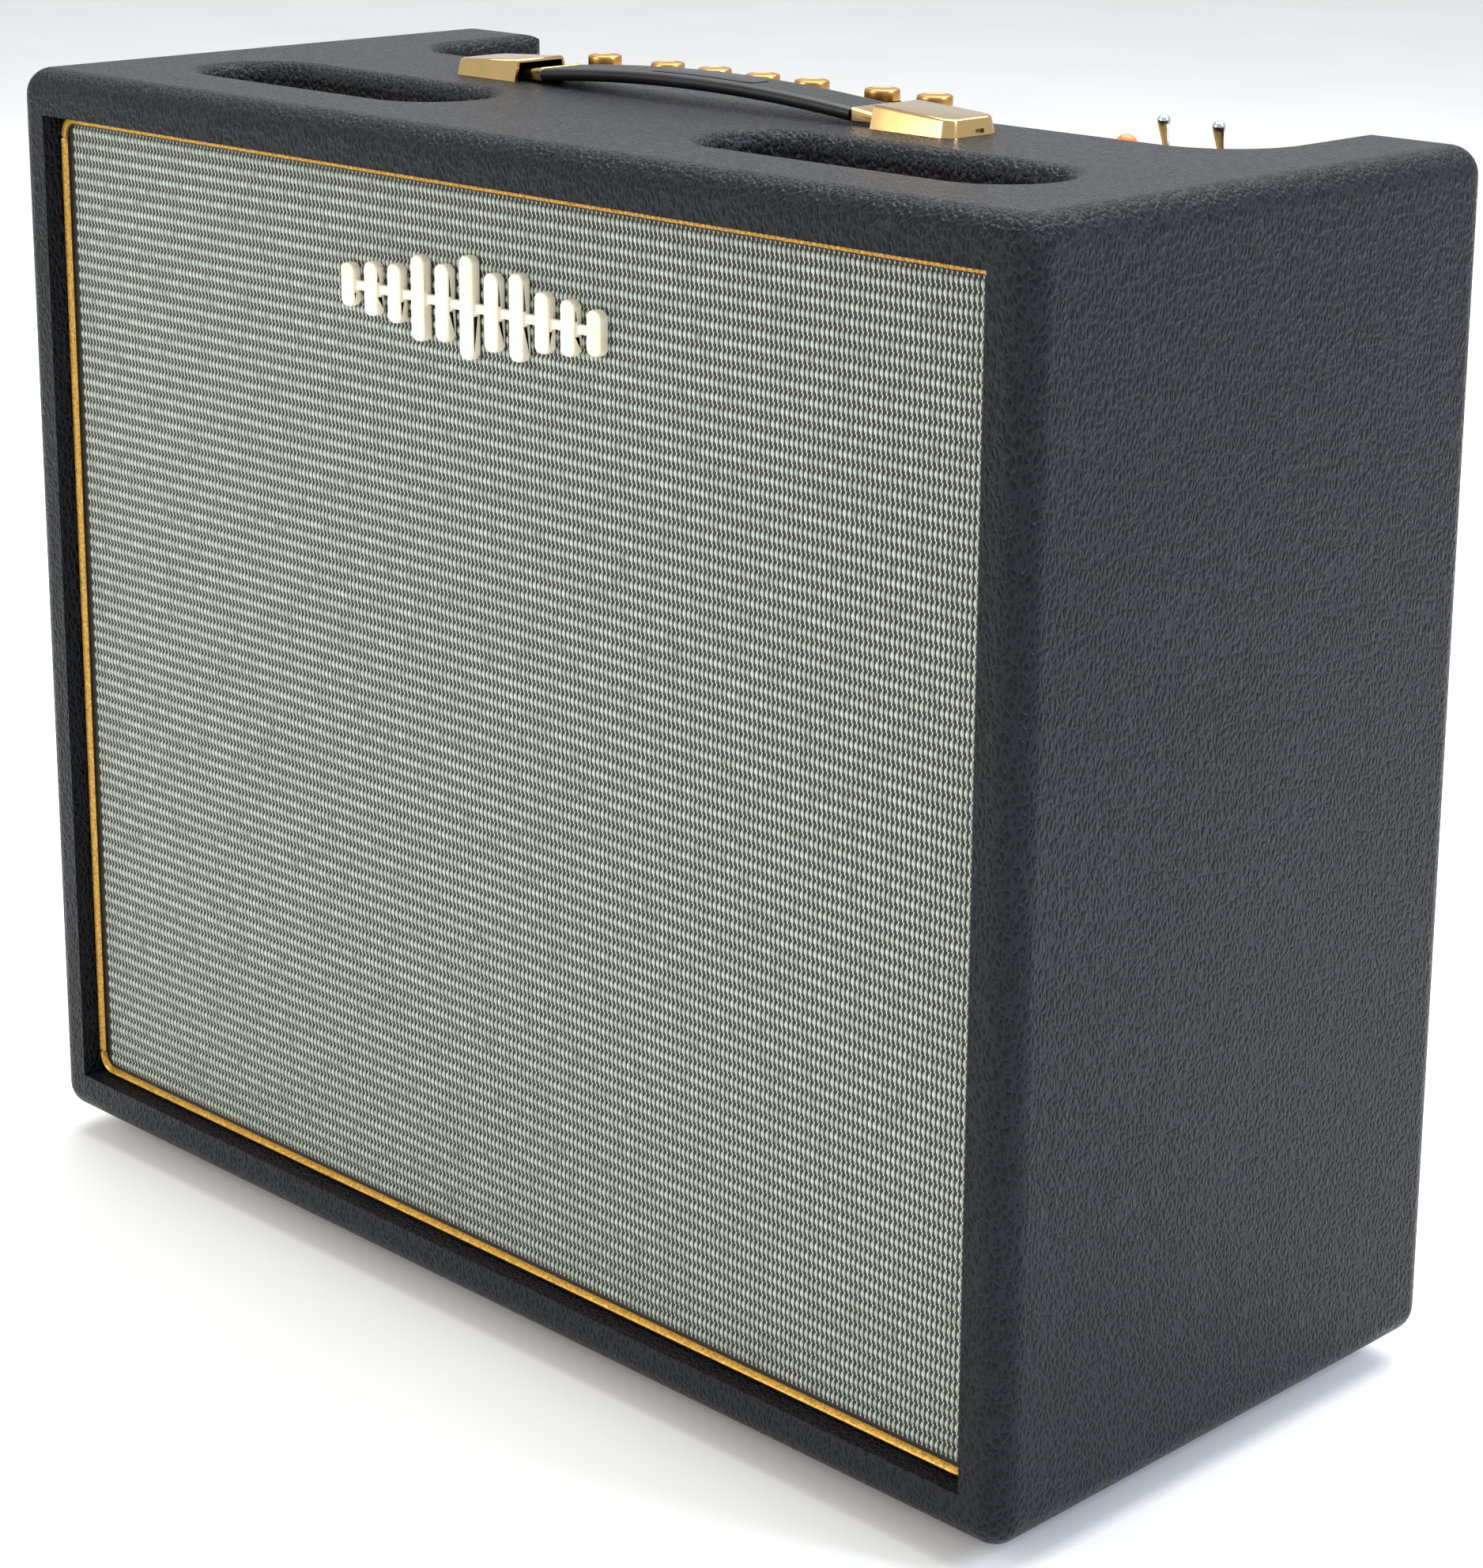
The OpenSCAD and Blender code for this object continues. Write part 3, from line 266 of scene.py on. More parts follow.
column = add(tree, "Math", {0: column, 1: 0.5}, operation="SUBTRACT")
thread = add(tree, "MapRange", {"Value": add(tree, "Math", {0: column}, operation="ABSOLUTE"),
                                "From Min": 0.14, "From Max": 0.09})
bound_x = add(tree, "Math", {0: part_of.node.outputs["X"]}, operation="ABSOLUTE")
bound_x = add(tree, "Math", {0: bound_x, 1: weave_half.x}, operation="LESS_THAN")
bound_z = add(tree, "Math", {0: part_of.node.outputs["Z"], 1: mid_z}, operation="SUBTRACT")
bound_z = add(tree, "Math", {0: bound_z}, operation="ABSOLUTE")
bound_z = add(tree, "Math", {0: bound_z, 1: weave_half.z}, operation="LESS_THAN")
thread = add(tree, "Math", {0: thread, 1: bound_x}, operation="MULTIPLY")
thread = add(tree, "Math", {0: thread, 1: bound_z}, operation="MULTIPLY")
warp = add(tree, "TexWave", {"Vector": at, "Scale": 400.0, "Distortion": 0.4}, bands_direction="X")
weft = add(tree, "TexWave", {"Vector": at, "Scale": 400.0, "Distortion": 0.4}, bands_direction="Z")
woven = add(tree, "Math", {0: warp, 1: weft}, operation="MAXIMUM")
dark = add(tree, "ValToRGB", {"Fac": woven}, stops=[(0.2, "#080808"), (0.9, "#2c2926")])
lit = add(tree, "Mix", {0: thread, 6: dark, 7: srgb("#bcc4b6")}, data_type="RGBA")
tree.links.new(lit, shader.inputs["Base Color"])
relief_of(tree, shader, woven, 0.15, 0.7)

# the ground: one sheet whose face is drawn in a little between the rows of floats
bpy.ops.object.select_all(action="DESELECT")
bpy.ops.mesh.primitive_grid_add(x_subdivisions=4, y_subdivisions=4 * rows, size=1,
    location=(0, face_y, mid_z), rotation=(math.radians(90), 0, 0))
cloth = bpy.context.active_object
cloth.name = "grille_ground"
cloth.scale = (cloth_high.x - cloth_low.x, cloth_high.z - cloth_low.z, 1)
bpy.ops.object.transform_apply(location=True, rotation=True, scale=True)
for vertex in cloth.data.vertices:
    phase = (vertex.co.z - mid_z) / row_pitch + (0.5 if rows % 2 else 0)
    inside = abs(vertex.co.z - mid_z) < weave_half.z
    vertex.co.y += (0.25 + (0.2 * math.cos(2 * math.pi * phase) if inside else 0)) * MM
bpy.ops.object.select_all(action="DESELECT")
cloth.select_set(True)
bpy.context.view_layer.objects.active = cloth
thickness = cloth.modifiers.new("cloth_thickness", "SOLIDIFY")
thickness.thickness = 0.8 * MM
thickness.offset = -1
bpy.ops.object.modifier_apply(modifier="cloth_thickness")
cloth.data.materials.append(ground)
bpy.ops.object.shade_smooth_by_angle(angle=math.radians(40))
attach(cloth, "root")
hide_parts("grille_cloth")

# the floats: one six-sided grain, repeated along a row, then row by row
yarn, tree, shader = finish("coated_yarn", "#c9d1c8", Roughness=0.5)
at = coordinates(tree)
fibre = add(tree, "TexNoise", {"Vector": add(tree, "Mapping", {"Vector": at, "Scale": (5, 5, 1)}),
                               "Scale": 700, "Detail": 2})
lean = add(tree, "TexNoise", {"Vector": at, "Scale": 260, "Detail": 1})
tone = add(tree, "Math", {0: fibre, 1: 0.6, 2: lean}, operation="MULTIPLY_ADD")
add(tree, "ValToRGB", {"Fac": add(tree, "Math", {0: tone, 1: 0.62}, operation="MULTIPLY")},
    stops=[(0.25, "#7e877c"), (0.5, "#aeb8ab"), (0.75, "#c6cfc1")], to=shader.inputs["Base Color"])
relief_of(tree, shader, fibre, 0.1, 0.6)
for half in (0, 1):
    first = 0 if half == 0 else rows // 2
    last = rows // 2 if half == 0 else rows
    base = Vector((-(columns - 1) / 2 * float_pitch, face_y + 0.5 * MM,
                   mid_z + (first - (rows - 1) / 2) * row_pitch))
    bpy.ops.object.select_all(action="DESELECT")
    bpy.ops.mesh.primitive_cylinder_add(vertices=6, radius=0.5, depth=1, location=(0, 0, 0),
                                        rotation=(math.radians(90), math.radians(30), 0))
    floats = bpy.context.active_object
    floats.name = f"grille_floats_{half}"
    bpy.ops.object.transform_apply(rotation=True)
    for vertex in floats.data.vertices:
        front = vertex.co.y < 0
        tall = 0.62 if front else 1.0
        wide = 0.54 if front else 0.9
        vertex.co = Vector((vertex.co.x * 2.5 * wide * MM, (-0.85 if front else 0) * MM,
                            vertex.co.z * 4.05 * tall * MM)) + base
    for axis, count, step in (("x", columns, float_pitch), ("z", last - first, row_pitch)):
        bpy.ops.object.select_all(action="DESELECT")
        floats.select_set(True)
        bpy.context.view_layer.objects.active = floats
        copies = floats.modifiers.new("copies", "ARRAY")
        copies.count = count
        copies.use_relative_offset = False
        copies.use_constant_offset = True
        copies.constant_offset_displace = (step, 0, 0) if axis == "x" else (0, 0, step)
        bpy.ops.object.modifier_apply(modifier="copies")
    floats.data.materials.append(yarn)
    bpy.ops.object.shade_smooth()
    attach(floats, "root")

# ---------------------------------------------------------------- piping
# Gold-coloured plastic cord of three strands laid up with a 6 mm twist, pressed into the corner
# between the cloth and the covering all the way round.
bpy.ops.object.select_all(action="DESELECT")
cord_r = (ring_high.y - ring_low.y) / 2
line_x, line_z = ring_high.x - cord_r, ring_high.z - mid_z - cord_r
bend_r = 8 * MM
corners = []
for sx, sz, start in ((1, 1, 0), (-1, 1, 90), (-1, -1, 180), (1, -1, 270)):
    for step in range(9):
        turn = math.radians(start + step * 90 / 8)
        corners.append(Vector((sx * (line_x - bend_r) + bend_r * math.cos(turn), 0,
                               sz * (line_z - bend_r) + bend_r * math.sin(turn))))
way = []
for a, b in zip(corners, corners[1:] + corners[:1]):
    count = max(1, round((b - a).length / (1.2 * MM)))
    way += [a.lerp(b, i / count) for i in range(count)]
strand_turns = round(sum((b - a).length for a, b in zip(way, way[1:] + way[:1])) / (9 * MM))

bpy.ops.curve.primitive_bezier_circle_add(radius=1)
section = bpy.context.active_object
section.name = "cord_section"
section.data.splines.clear()
lobes = section.data.splines.new("POLY")
lobes.points.add(11)
lobes.use_cyclic_u = True
for i, point in enumerate(lobes.points):
    turn = 2 * math.pi * i / 12
    reach = cord_r * (0.86 + 0.14 * math.cos(3 * turn))
    point.co = (reach * math.cos(turn), reach * math.sin(turn), 0, 1)
section.data.dimensions = "2D"
bpy.ops.curve.primitive_bezier_circle_add(radius=1)
piping = bpy.context.active_object
piping.name = "gold_piping"
piping.data.splines.clear()
line = piping.data.splines.new("POLY")
line.points.add(len(way) - 1)
line.use_cyclic_u = True
for i, (point, place) in enumerate(zip(line.points, way)):
    point.co = (place.x, ring_low.y + cord_r, mid_z + place.z, 1)
    point.tilt = 2 * math.pi * strand_turns * i / len(way)
piping.data.dimensions = "3D"
piping.data.twist_mode = "Z_UP"
piping.data.bevel_mode = "OBJECT"
piping.data.bevel_object = section
bpy.ops.object.select_all(action="DESELECT")
piping.select_set(True)
bpy.context.view_layer.objects.active = piping
bpy.ops.object.convert(target="MESH")
bpy.data.objects.remove(section)
gold_cord, tree, shader = finish("gold_piping_cord", "#c79a3c", Metallic=0.35, Roughness=0.36)
wound = add(tree, "TexNoise", {"Vector": coordinates(tree), "Scale": 900, "Detail": 2})
tint(tree, shader, wound, [(0.3, "#9a6f22"), (0.55, "#c9993a"), (0.8, "#e6c167")])
relief_of(tree, shader, wound, 0.1, 0.5)
piping.data.materials.append(gold_cord)
bpy.ops.object.shade_smooth_by_angle(angle=math.radians(60))
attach(piping, "root")
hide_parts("piping")

# ---------------------------------------------------------------- emblem
# Generic badge, moulded in one piece in cream ABS: a rail with eleven bars, like a level display.
# Its edges are rounded by the mould, and it is pinned through the cloth into the baffle.


def solid_copy(node, name):
    """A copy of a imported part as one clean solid, with its flat faces whole, ready to be shaped."""
    piece = bpy.data.objects.new(name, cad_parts[node].data.copy())
    piece.data.name = name
    piece.data.materials.clear()
    bpy.context.scene.collection.objects.link(piece)
    bpy.ops.object.select_all(action="DESELECT")
    piece.select_set(True)
    bpy.context.view_layer.objects.active = piece
    bpy.ops.object.mode_set(mode="EDIT")
    bpy.ops.mesh.select_all(action="SELECT")
    bpy.ops.mesh.remove_doubles(threshold=0.003 * MM)
    bpy.ops.mesh.dissolve_limited(angle_limit=math.radians(0.5))
    bpy.ops.object.mode_set(mode="OBJECT")
    bpy.ops.mesh.customdata_custom_splitnormals_clear()
    return piece


def round_edges(piece, radius, segments=3, over=30):
    """Rounds the edges that turn by more than that many degrees."""
    bpy.context.view_layer.objects.active = piece
    rounding = piece.modifiers.new("rounding", "BEVEL")
    rounding.width, rounding.segments = radius, segments
    rounding.limit_method, rounding.angle_limit = "ANGLE", math.radians(over)
    rounding.harden_normals = False
    rounding.use_clamp_overlap = True
    bpy.ops.object.modifier_apply(modifier="rounding")
    bpy.ops.object.shade_smooth_by_angle(angle=math.radians(35))


def settle(piece, material, body, slot, *nodes):
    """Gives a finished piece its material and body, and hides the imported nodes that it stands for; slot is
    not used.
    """
    piece.data.materials.clear()
    piece.data.materials.append(material)
    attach(piece, body)
    if nodes:
        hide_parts(*nodes)
    return piece


cream, tree, shader = finish("cream_abs", "#efe6cf", Roughness=0.32, IOR=1.53)
shader.inputs["Subsurface Weight"].default_value = 0.12
shader.inputs["Subsurface Radius"].default_value = (0.004, 0.003, 0.002)
flow = add(tree, "TexNoise", {"Vector": coordinates(tree), "Scale": 60, "Detail": 3})
tint(tree, shader, flow, [(0.3, "#e9dfc6"), (0.7, "#f3ebd8")])
add(tree, "Bump", {"Height": add(tree, "TexNoise", {"Vector": coordinates(tree), "Scale": 700}),
                   "Distance": 0.05 * MM, "Strength": 0.3}, to=shader.inputs["Normal"])
badge = solid_copy("emblem", "emblem_badge")
round_edges(badge, 1.1 * MM, 4)
settle(badge, cream, "root", "cream_plastic", "emblem")

# ---------------------------------------------------------------- feet
# Turned-down rubber feet, moulded with a washer inside, each held by one pan-head screw.
rubber, tree, shader = finish("moulded_rubber", "#17171a", Roughness=0.78)
bloom = add(tree, "TexNoise", {"Vector": coordinates(tree), "Scale": 140, "Detail": 5})
tint(tree, shader, bloom, [(0.35, "#121213"), (0.75, "#26262a")])
relief_of(tree, shader, bloom, 0.2, 0.5)
dress("feet", rubber)

# ---------------------------------------------------------------- screws and bolts
# Black-phosphated pan-head wood screws in the backs and feet; zinc-plated machine screws inside.
phosphate, tree, shader = finish("black_phosphate", "#1b1b1d", Metallic=0.6, Roughness=0.5)
grit = add(tree, "TexNoise", {"Vector": coordinates(tree), "Scale": 1200, "Detail": 3})
gloss(tree, shader, grit, 0.38, 0.62)
dress("wood_screws", phosphate)
zinc, tree, shader = finish("zinc_plate", "#c3c7cb", Metallic=1.0, Roughness=0.34)
spangle = add(tree, "TexVoronoi", {"Vector": coordinates(tree), "Scale": 160})
gloss(tree, shader, spangle, 0.26, 0.46)
tint(tree, shader, spangle, [(0.1, "#b3b7bc"), (0.8, "#d0d3d6")])
dress("machine_screws", zinc)

# ---------------------------------------------------------------- handle end caps
# Pressed steel caps, plated gold and polished, each bolted through the top board. Their sides
# draw in towards the top, the rim is rolled, and a small slot is pressed into the outer end.
gold_plate, tree, shader = finish("polished_gold_plate", "#cbab74", Metallic=1.0, Roughness=0.13)
haze = add(tree, "TexNoise", {"Vector": coordinates(tree), "Scale": 90, "Detail": 4})
gloss(tree, shader, haze, 0.08, 0.22)
relief_of(tree, shader, haze, 0.02, 0.2)
strap_low, strap_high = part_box("handle_strap")
handle_y = (strap_low.y + strap_high.y) / 2


def smooth_by_angle(piece, degrees=35):
    bpy.ops.object.select_all(action="DESELECT")
    piece.select_set(True)
    bpy.context.view_layer.objects.active = piece
    bpy.ops.object.shade_smooth_by_angle(angle=math.radians(degrees))


def select_in(piece, mode, chosen):
    """Enters edit mode with only the chosen faces, edges or vertices selected."""
    bpy.ops.object.select_all(action="DESELECT")
    piece.select_set(True)
    bpy.context.view_layer.objects.active = piece
    bpy.ops.object.mode_set(mode="EDIT")
    bpy.ops.mesh.select_mode(type=mode)
    bpy.ops.mesh.select_all(action="DESELECT")
    bpy.ops.object.mode_set(mode="OBJECT")
    parts = {"VERT": piece.data.vertices, "EDGE": piece.data.edges, "FACE": piece.data.polygons}[mode]
    points = piece.data.vertices
    for part in parts:
        corners = [points[i].co for i in part.vertices] if mode != "VERT" else [part.co]
        part.select = all(chosen(c) for c in corners)
    bpy.ops.object.mode_set(mode="EDIT")


for side_name, side in (("left", -1), ("right", 1)):
    node = f"handle_cap_{side_name}"
    low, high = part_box(node)
    cap = solid_copy(node, f"handle_end_{side_name}")
    inner = low.x if side > 0 else high.x
    length, fall = high.x - low.x, 2.5 * MM

    def on_top(c):
        return c.z > high.z - fall * abs(c.x - inner) / length - 0.2 * MM

    select_in(cap, "EDGE", on_top)
    bpy.ops.mesh.bevel(offset=1.3 * MM, segments=4, profile=0.55, clamp_overlap=True)
    bpy.ops.object.mode_set(mode="OBJECT")
    for vertex in cap.data.vertices:
        rise = max(0, vertex.co.z - cab_top) / (high.z - cab_top)
        vertex.co.y = handle_y + (vertex.co.y - handle_y) * (1 - 0.15 * rise)
        outward = max(0, abs(vertex.co.x - inner) / length - 0.6)
        vertex.co.x -= side * outward * rise * 3.5 * MM
    bpy.ops.mesh.primitive_cube_add(size=1, location=(side * 148 * MM, handle_y + 3 * MM, cab_top + 1.6 * MM))
    slot_tool = bpy.context.active_object
    slot_tool.scale = (2.4 * MM, 5 * MM, 1.8 * MM)
    cut = cap.modifiers.new("slot", "BOOLEAN")
    cut.object, cut.operation, cut.solver = slot_tool, "DIFFERENCE", "EXACT"
    bpy.context.view_layer.objects.active = cap
    bpy.ops.object.modifier_apply(modifier="slot")
    bpy.data.objects.remove(slot_tool)
    smooth_by_angle(cap, 58)
    settle(cap, gold_plate, "root", "gold_plate", node)

# ---------------------------------------------------------------- strap ferrules
# Gold-plated ferrules crimped on the strap's ends; each narrows towards its cap and runs on as a
# flat tongue that slides in the cap's hollow.
ferrules = solid_copy("strap_ferrules", "strap_end_ferrules")
for vertex in ferrules.data.vertices:
    if 104 * MM < abs(vertex.co.x) < 105.8 * MM and vertex.co.z > cab_top + 0.9 * MM:
        vertex.co.y = handle_y + (vertex.co.y - handle_y) * 0.84
select_in(ferrules, "EDGE", lambda c: abs(c.x) < 105.8 * MM)
bpy.ops.mesh.bevel(offset=1.2 * MM, segments=4, clamp_overlap=True)
bpy.ops.object.mode_set(mode="OBJECT")
smooth_by_angle(ferrules, 40)
settle(ferrules, gold_plate, "handle", "gold_plate", "strap_ferrules")

# ---------------------------------------------------------------- handle strap
# Black moulded strap, 26 mm wide and 6 mm thick over a steel band, with a soft front edge, ribs
# along its top and a plain raised plaque in the middle. It bows up between the ferrules.
strap_end, strap_thick = strap_high.x, 6 * MM
bow_bottom, bow_end = strap_high.z - strap_thick, strap_low.z
bow_r = (strap_end**2 + (bow_bottom - bow_end) ** 2) / (2 * (bow_bottom - bow_end))


def bow(x):
    """Height of the strap's underside at x."""
    return bow_bottom - bow_r + math.sqrt(bow_r**2 - x**2)


outline = [(-10.4, 0), (10.4, 0), (11.6, 0.25), (12.5, 0.95), (13, 2.1), (13, 3.4), (12.6, 4.4), (11.9, 5.0)]
for rib in range(6):
    start = 10.8 - rib * 3.6
    outline += [(start, 5.45), (start - 2.7, 5.45), (start - 2.95, 4.85), (start - 3.35, 4.85)]
outline = outline[:-2] + [(-11.9, 5.0), (-12.6, 4.4), (-13, 3.4), (-13, 2.1), (-12.5, 0.95), (-11.6, 0.25)]


def draw_outline(name, points, closed=True):
    """Draws a line from point to point by extruding a vertex, as an object in edit mode."""
    bpy.ops.object.select_all(action="DESELECT")
    bpy.ops.mesh.primitive_plane_add(size=1, location=(0, 0, 0))
    drawn = bpy.context.active_object
    drawn.name = drawn.data.name = name
    bpy.ops.object.mode_set(mode="EDIT")
    bpy.ops.mesh.select_mode(type="VERT")
    bpy.ops.mesh.select_all(action="SELECT")
    bpy.ops.mesh.merge(type="CENTER")
    bpy.ops.transform.translate(value=points[0])
    for a, b in zip(points, points[1:]):
        bpy.ops.mesh.extrude_region_move(TRANSFORM_OT_translate={"value": Vector(b) - Vector(a)})
    bpy.ops.mesh.select_all(action="SELECT")
    if closed:
        bpy.ops.mesh.edge_face_add()
    return drawn


steps = 36
strap = draw_outline(
    "handle_grip", [(-strap_end, handle_y + y * MM, bow(strap_end) + z * MM) for y, z in outline]
)
for i in range(steps):
    a, b = (-strap_end + 2 * strap_end * (i + k) / steps for k in (0, 1))
    bpy.ops.mesh.extrude_region_move(TRANSFORM_OT_translate={"value": (b - a, 0, bow(b) - bow(a))})
bpy.ops.mesh.select_all(action="SELECT")
bpy.ops.mesh.remove_doubles(threshold=0.01 * MM)
bpy.ops.mesh.normals_make_consistent(inside=False)
bpy.ops.object.mode_set(mode="OBJECT")
smooth_by_angle(strap, 42)
strap_hide, tree, shader = finish("moulded_strap", "#0d0d0f", Roughness=0.38)
shader.inputs["Specular IOR Level"].default_value = 0.3
at = coordinates(tree)
skin = add(tree, "TexVoronoi", {"Vector": at, "Scale": 900}, feature="DISTANCE_TO_EDGE")
rub = add(tree, "TexNoise", {"Vector": at, "Scale": 45, "Detail": 4})
gloss(tree, shader, rub, 0.28, 0.46)
tint(tree, shader, rub, [(0.3, "#0a0a0c"), (0.7, "#131316")])
relief_of(tree, shader, skin, 0.05, 0.25)
settle(strap, strap_hide, "handle", "strap_rubber", "handle_strap")

plaque_half, plaque_wide = 31 * MM, 6.6 * MM
plaque_line = []
for sx, sy, start in ((1, 1, 0), (-1, 1, 90), (-1, -1, 180), (1, -1, 270)):
    for step in range(5):
        turn = math.radians(start + 22.5 * step)
        plaque_line.append(((sx * (plaque_half - 5 * MM) + 5 * MM * math.cos(turn)),
                            handle_y + sy * (plaque_wide - 5 * MM) + 5 * MM * math.sin(turn), 0))
plaque = draw_outline("handle_plaque", plaque_line)
bpy.ops.mesh.extrude_region_move(TRANSFORM_OT_translate={"value": (0, 0, 0.55 * MM)})
bpy.ops.mesh.inset(thickness=0.5 * MM, depth=0)
bpy.ops.mesh.inset(thickness=0.9 * MM, depth=-0.25 * MM)
bpy.ops.mesh.select_all(action="SELECT")
for cut_x in range(-30, 31, 6):
    bpy.ops.mesh.bisect(plane_co=(cut_x * MM, 0, 0), plane_no=(1, 0, 0))
    bpy.ops.mesh.select_all(action="SELECT")
bpy.ops.mesh.normals_make_consistent(inside=False)
bpy.ops.object.mode_set(mode="OBJECT")
for vertex in plaque.data.vertices:
    vertex.co.z += bow(vertex.co.x) + 5.15 * MM
smooth_by_angle(plaque, 35)
settle(plaque, strap_hide, "handle", "strap_rubber")

# ---------------------------------------------------------------- chassis
# Folded and spot-welded 1.5 mm steel, zinc-plated, hung from the top board by four bolts.
dress("chassis", zinc)

# ---------------------------------------------------------------- control panel
# Aluminium sheet, brushed along its length and anodised gold, with its scales printed in black.
panel_gold, tree, shader = finish("gold_anodised_aluminium", "#c6a15a", Metallic=0.9, Roughness=0.32)
at = add(tree, "Mapping", {"Vector": coordinates(tree), "Scale": (8, 2600, 2600)})
brushed = add(tree, "TexNoise", {"Vector": at, "Scale": 1.5, "Detail": 4})
gloss(tree, shader, brushed, 0.24, 0.44)
tint(tree, shader, brushed, [(0.3, "#bf9850"), (0.7, "#cdaa64")])
relief_of(tree, shader, brushed, 0.03, 0.4)
dress("control_panel", panel_gold)

# the printed scales: eleven strokes round each knob, raised as thick as the ink
KNOBS = ("gain", "tilt", "bass", "middle", "treble", "presence", "master")
panel_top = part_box("control_panel")[1].z
centres = []
for knob in KNOBS:
    low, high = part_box(f"knob_{knob}")
    centres.append(Vector(((low.x + high.x) / 2, (low.y + high.y) / 2, 0)))
bpy.ops.object.select_all(action="DESELECT")
strokes = []
for centre in centres:
    for mark in range(11):
        turn = math.radians(240 - 30 * mark)
        reach = 11.6 * MM
        bpy.ops.mesh.primitive_cube_add(size=1, location=(0, 0, 0))
        stroke = bpy.context.active_object
        long_mark = 2.4 if mark in (0, 5, 10) else 1.7
        stroke.data.transform(
            Matrix.Translation((centre.x + reach * math.cos(turn), centre.y + reach * math.sin(turn),
                                panel_top + 0.02 * MM))
            @ Matrix.Rotation(turn, 4, "Z")
            @ Matrix.Diagonal((long_mark * MM, 0.45 * MM, 0.06 * MM, 1))
        )
        strokes.append(stroke)
bpy.ops.object.select_all(action="DESELECT")
for stroke in strokes:
    stroke.select_set(True)
bpy.context.view_layer.objects.active = strokes[0]
bpy.ops.object.join()
marks = bpy.context.active_object
marks.name = "panel_scales"
ink, tree, shader = finish("screen_ink", "#121212", Roughness=0.6)
add(tree, "Bump", {"Height": add(tree, "TexNoise", {"Vector": coordinates(tree), "Scale": 2500}),
                   "Distance": 0.01 * MM, "Strength": 0.3}, to=shader.inputs["Normal"])
settle(marks, ink, "root", "gold_anodised")

# ---------------------------------------------------------------- knobs
# Phenolic knobs on 6 mm shafts: a black fluted skirt that flares to the panel, and a pressed
# aluminium cap, anodised gold, its top turned on a lathe so that fine rings catch the light.


def turned(name, outline, centre, steps=96, axis=(0, 0, 1), away=(1, 0, 0)):
    """A lathe shape from (radius, length along the axis) pairs, about an axis through centre."""
    centre, axis, away = Vector(centre), Vector(axis), Vector(away)
    piece = draw_outline(name, [centre + away * r * MM + axis * h * MM for r, h in outline], closed=False)
    bpy.ops.mesh.spin(steps=steps, angle=2 * math.pi, center=centre, axis=axis)
    bpy.ops.mesh.select_all(action="SELECT")
    bpy.ops.mesh.remove_doubles(threshold=0.01 * MM)
    bpy.ops.mesh.normals_make_consistent(inside=False)
    bpy.ops.object.mode_set(mode="OBJECT")
    smooth_by_angle(piece)
    return piece


def copy_of(piece, name, shift):
    twin = bpy.data.objects.new(name, piece.data.copy())
    twin.data.name = name
    twin.data.transform(Matrix.Translation(shift))
    bpy.context.scene.collection.objects.link(twin)
    return twin


phenolic, tree, shader = finish("black_phenolic", "#101011", Roughness=0.3, IOR=1.6)
dust = add(tree, "TexNoise", {"Vector": coordinates(tree), "Scale": 400, "Detail": 4})
gloss(tree, shader, dust, 0.22, 0.42)
relief_of(tree, shader, dust, 0.02, 0.3)

cap_gold, tree, shader = finish("spun_gold_aluminium", "#b98a4e", Metallic=1.0, Roughness=0.3)
lathe = add(tree, "SeparateXYZ", {0: coordinates(tree, "UV")}).node.outputs["Y"]
cuts = add(tree, "TexNoise", {"W": lathe, "Scale": 46, "Detail": 3}, noise_dimensions="1D")
gloss(tree, shader, cuts, 0.2, 0.42)
tint(tree, shader, cuts, [(0.3, "#a87a40"), (0.7, "#c99d60")])
relief_of(tree, shader, cuts, 0.05, 0.5)

base_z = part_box("knob_tilt")[1].z - 12.3 * MM
first = Vector((centres[0].x, centres[0].y, base_z))
skirt_line = [(6.9, 0.2), (7.2, 0), (9.3, 0), (9.5, 0.3), (9.5, 1.4), (9.35, 2.6), (9.1, 4.6), (8.85, 7),
              (8.6, 9.5), (8.4, 11.6), (8.1, 12.2), (7.5, 12.3), (3.1, 12.3), (3.1, -15.5), (0, -15.5)]
skirt = turned("first_skirt", skirt_line, first, 144)
for vertex in skirt.data.vertices:
    arm = Vector((vertex.co.x - first.x, vertex.co.y - first.y))
    height = (vertex.co.z - first.z) / MM
    if arm.length > 8.2 * MM and 1.0 < height < 11.8:
        flute = 0.5 - 0.5 * math.cos(36 * math.atan2(arm.y, arm.x))
        arm *= 1 - 0.055 * flute
        vertex.co.x, vertex.co.y = first.x + arm.x, first.y + arm.y
smooth_by_angle(skirt, 50)
cap_seat = Vector((first.x, first.y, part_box("cap_tilt")[0].z))
button_line = [(0, 0), (7.5, 0), (7.75, 0.25), (7.8, 0.6), (7.8, 3.9), (7.65, 4.6), (7.2, 5.05), (6.6, 5.2),
               (6.0, 5.15), (5.6, 4.9), (5.4, 4.88), (1.8, 4.82), (1.6, 4.8), (1.2, 4.7), (1.0, 4.7), (0, 4.7)]
button = turned("first_button", button_line, cap_seat, 96)
ring_map = button.data.uv_layers.new(name="lathe")
for loop in button.data.loops:
    arm = button.data.vertices[loop.vertex_index].co - cap_seat
    reach = math.hypot(arm.x, arm.y) + (5.2 * MM - arm.z)
    ring_map.data[loop.index].uv = (math.atan2(arm.y, arm.x) / (2 * math.pi), reach / (10 * MM))
for knob, centre in zip(KNOBS, centres):
    shift = centre - centres[0]
    body = copy_of(skirt, f"fluted_skirt_{knob}", shift)
    settle(body, phenolic, f"{knob}_control", "knob_black", f"knob_{knob}")
    top = copy_of(button, f"gold_button_{knob}", shift)
    settle(top, cap_gold, f"{knob}_control", "knob_gold", f"cap_{knob}")
bpy.data.objects.remove(skirt)
bpy.data.objects.remove(button)

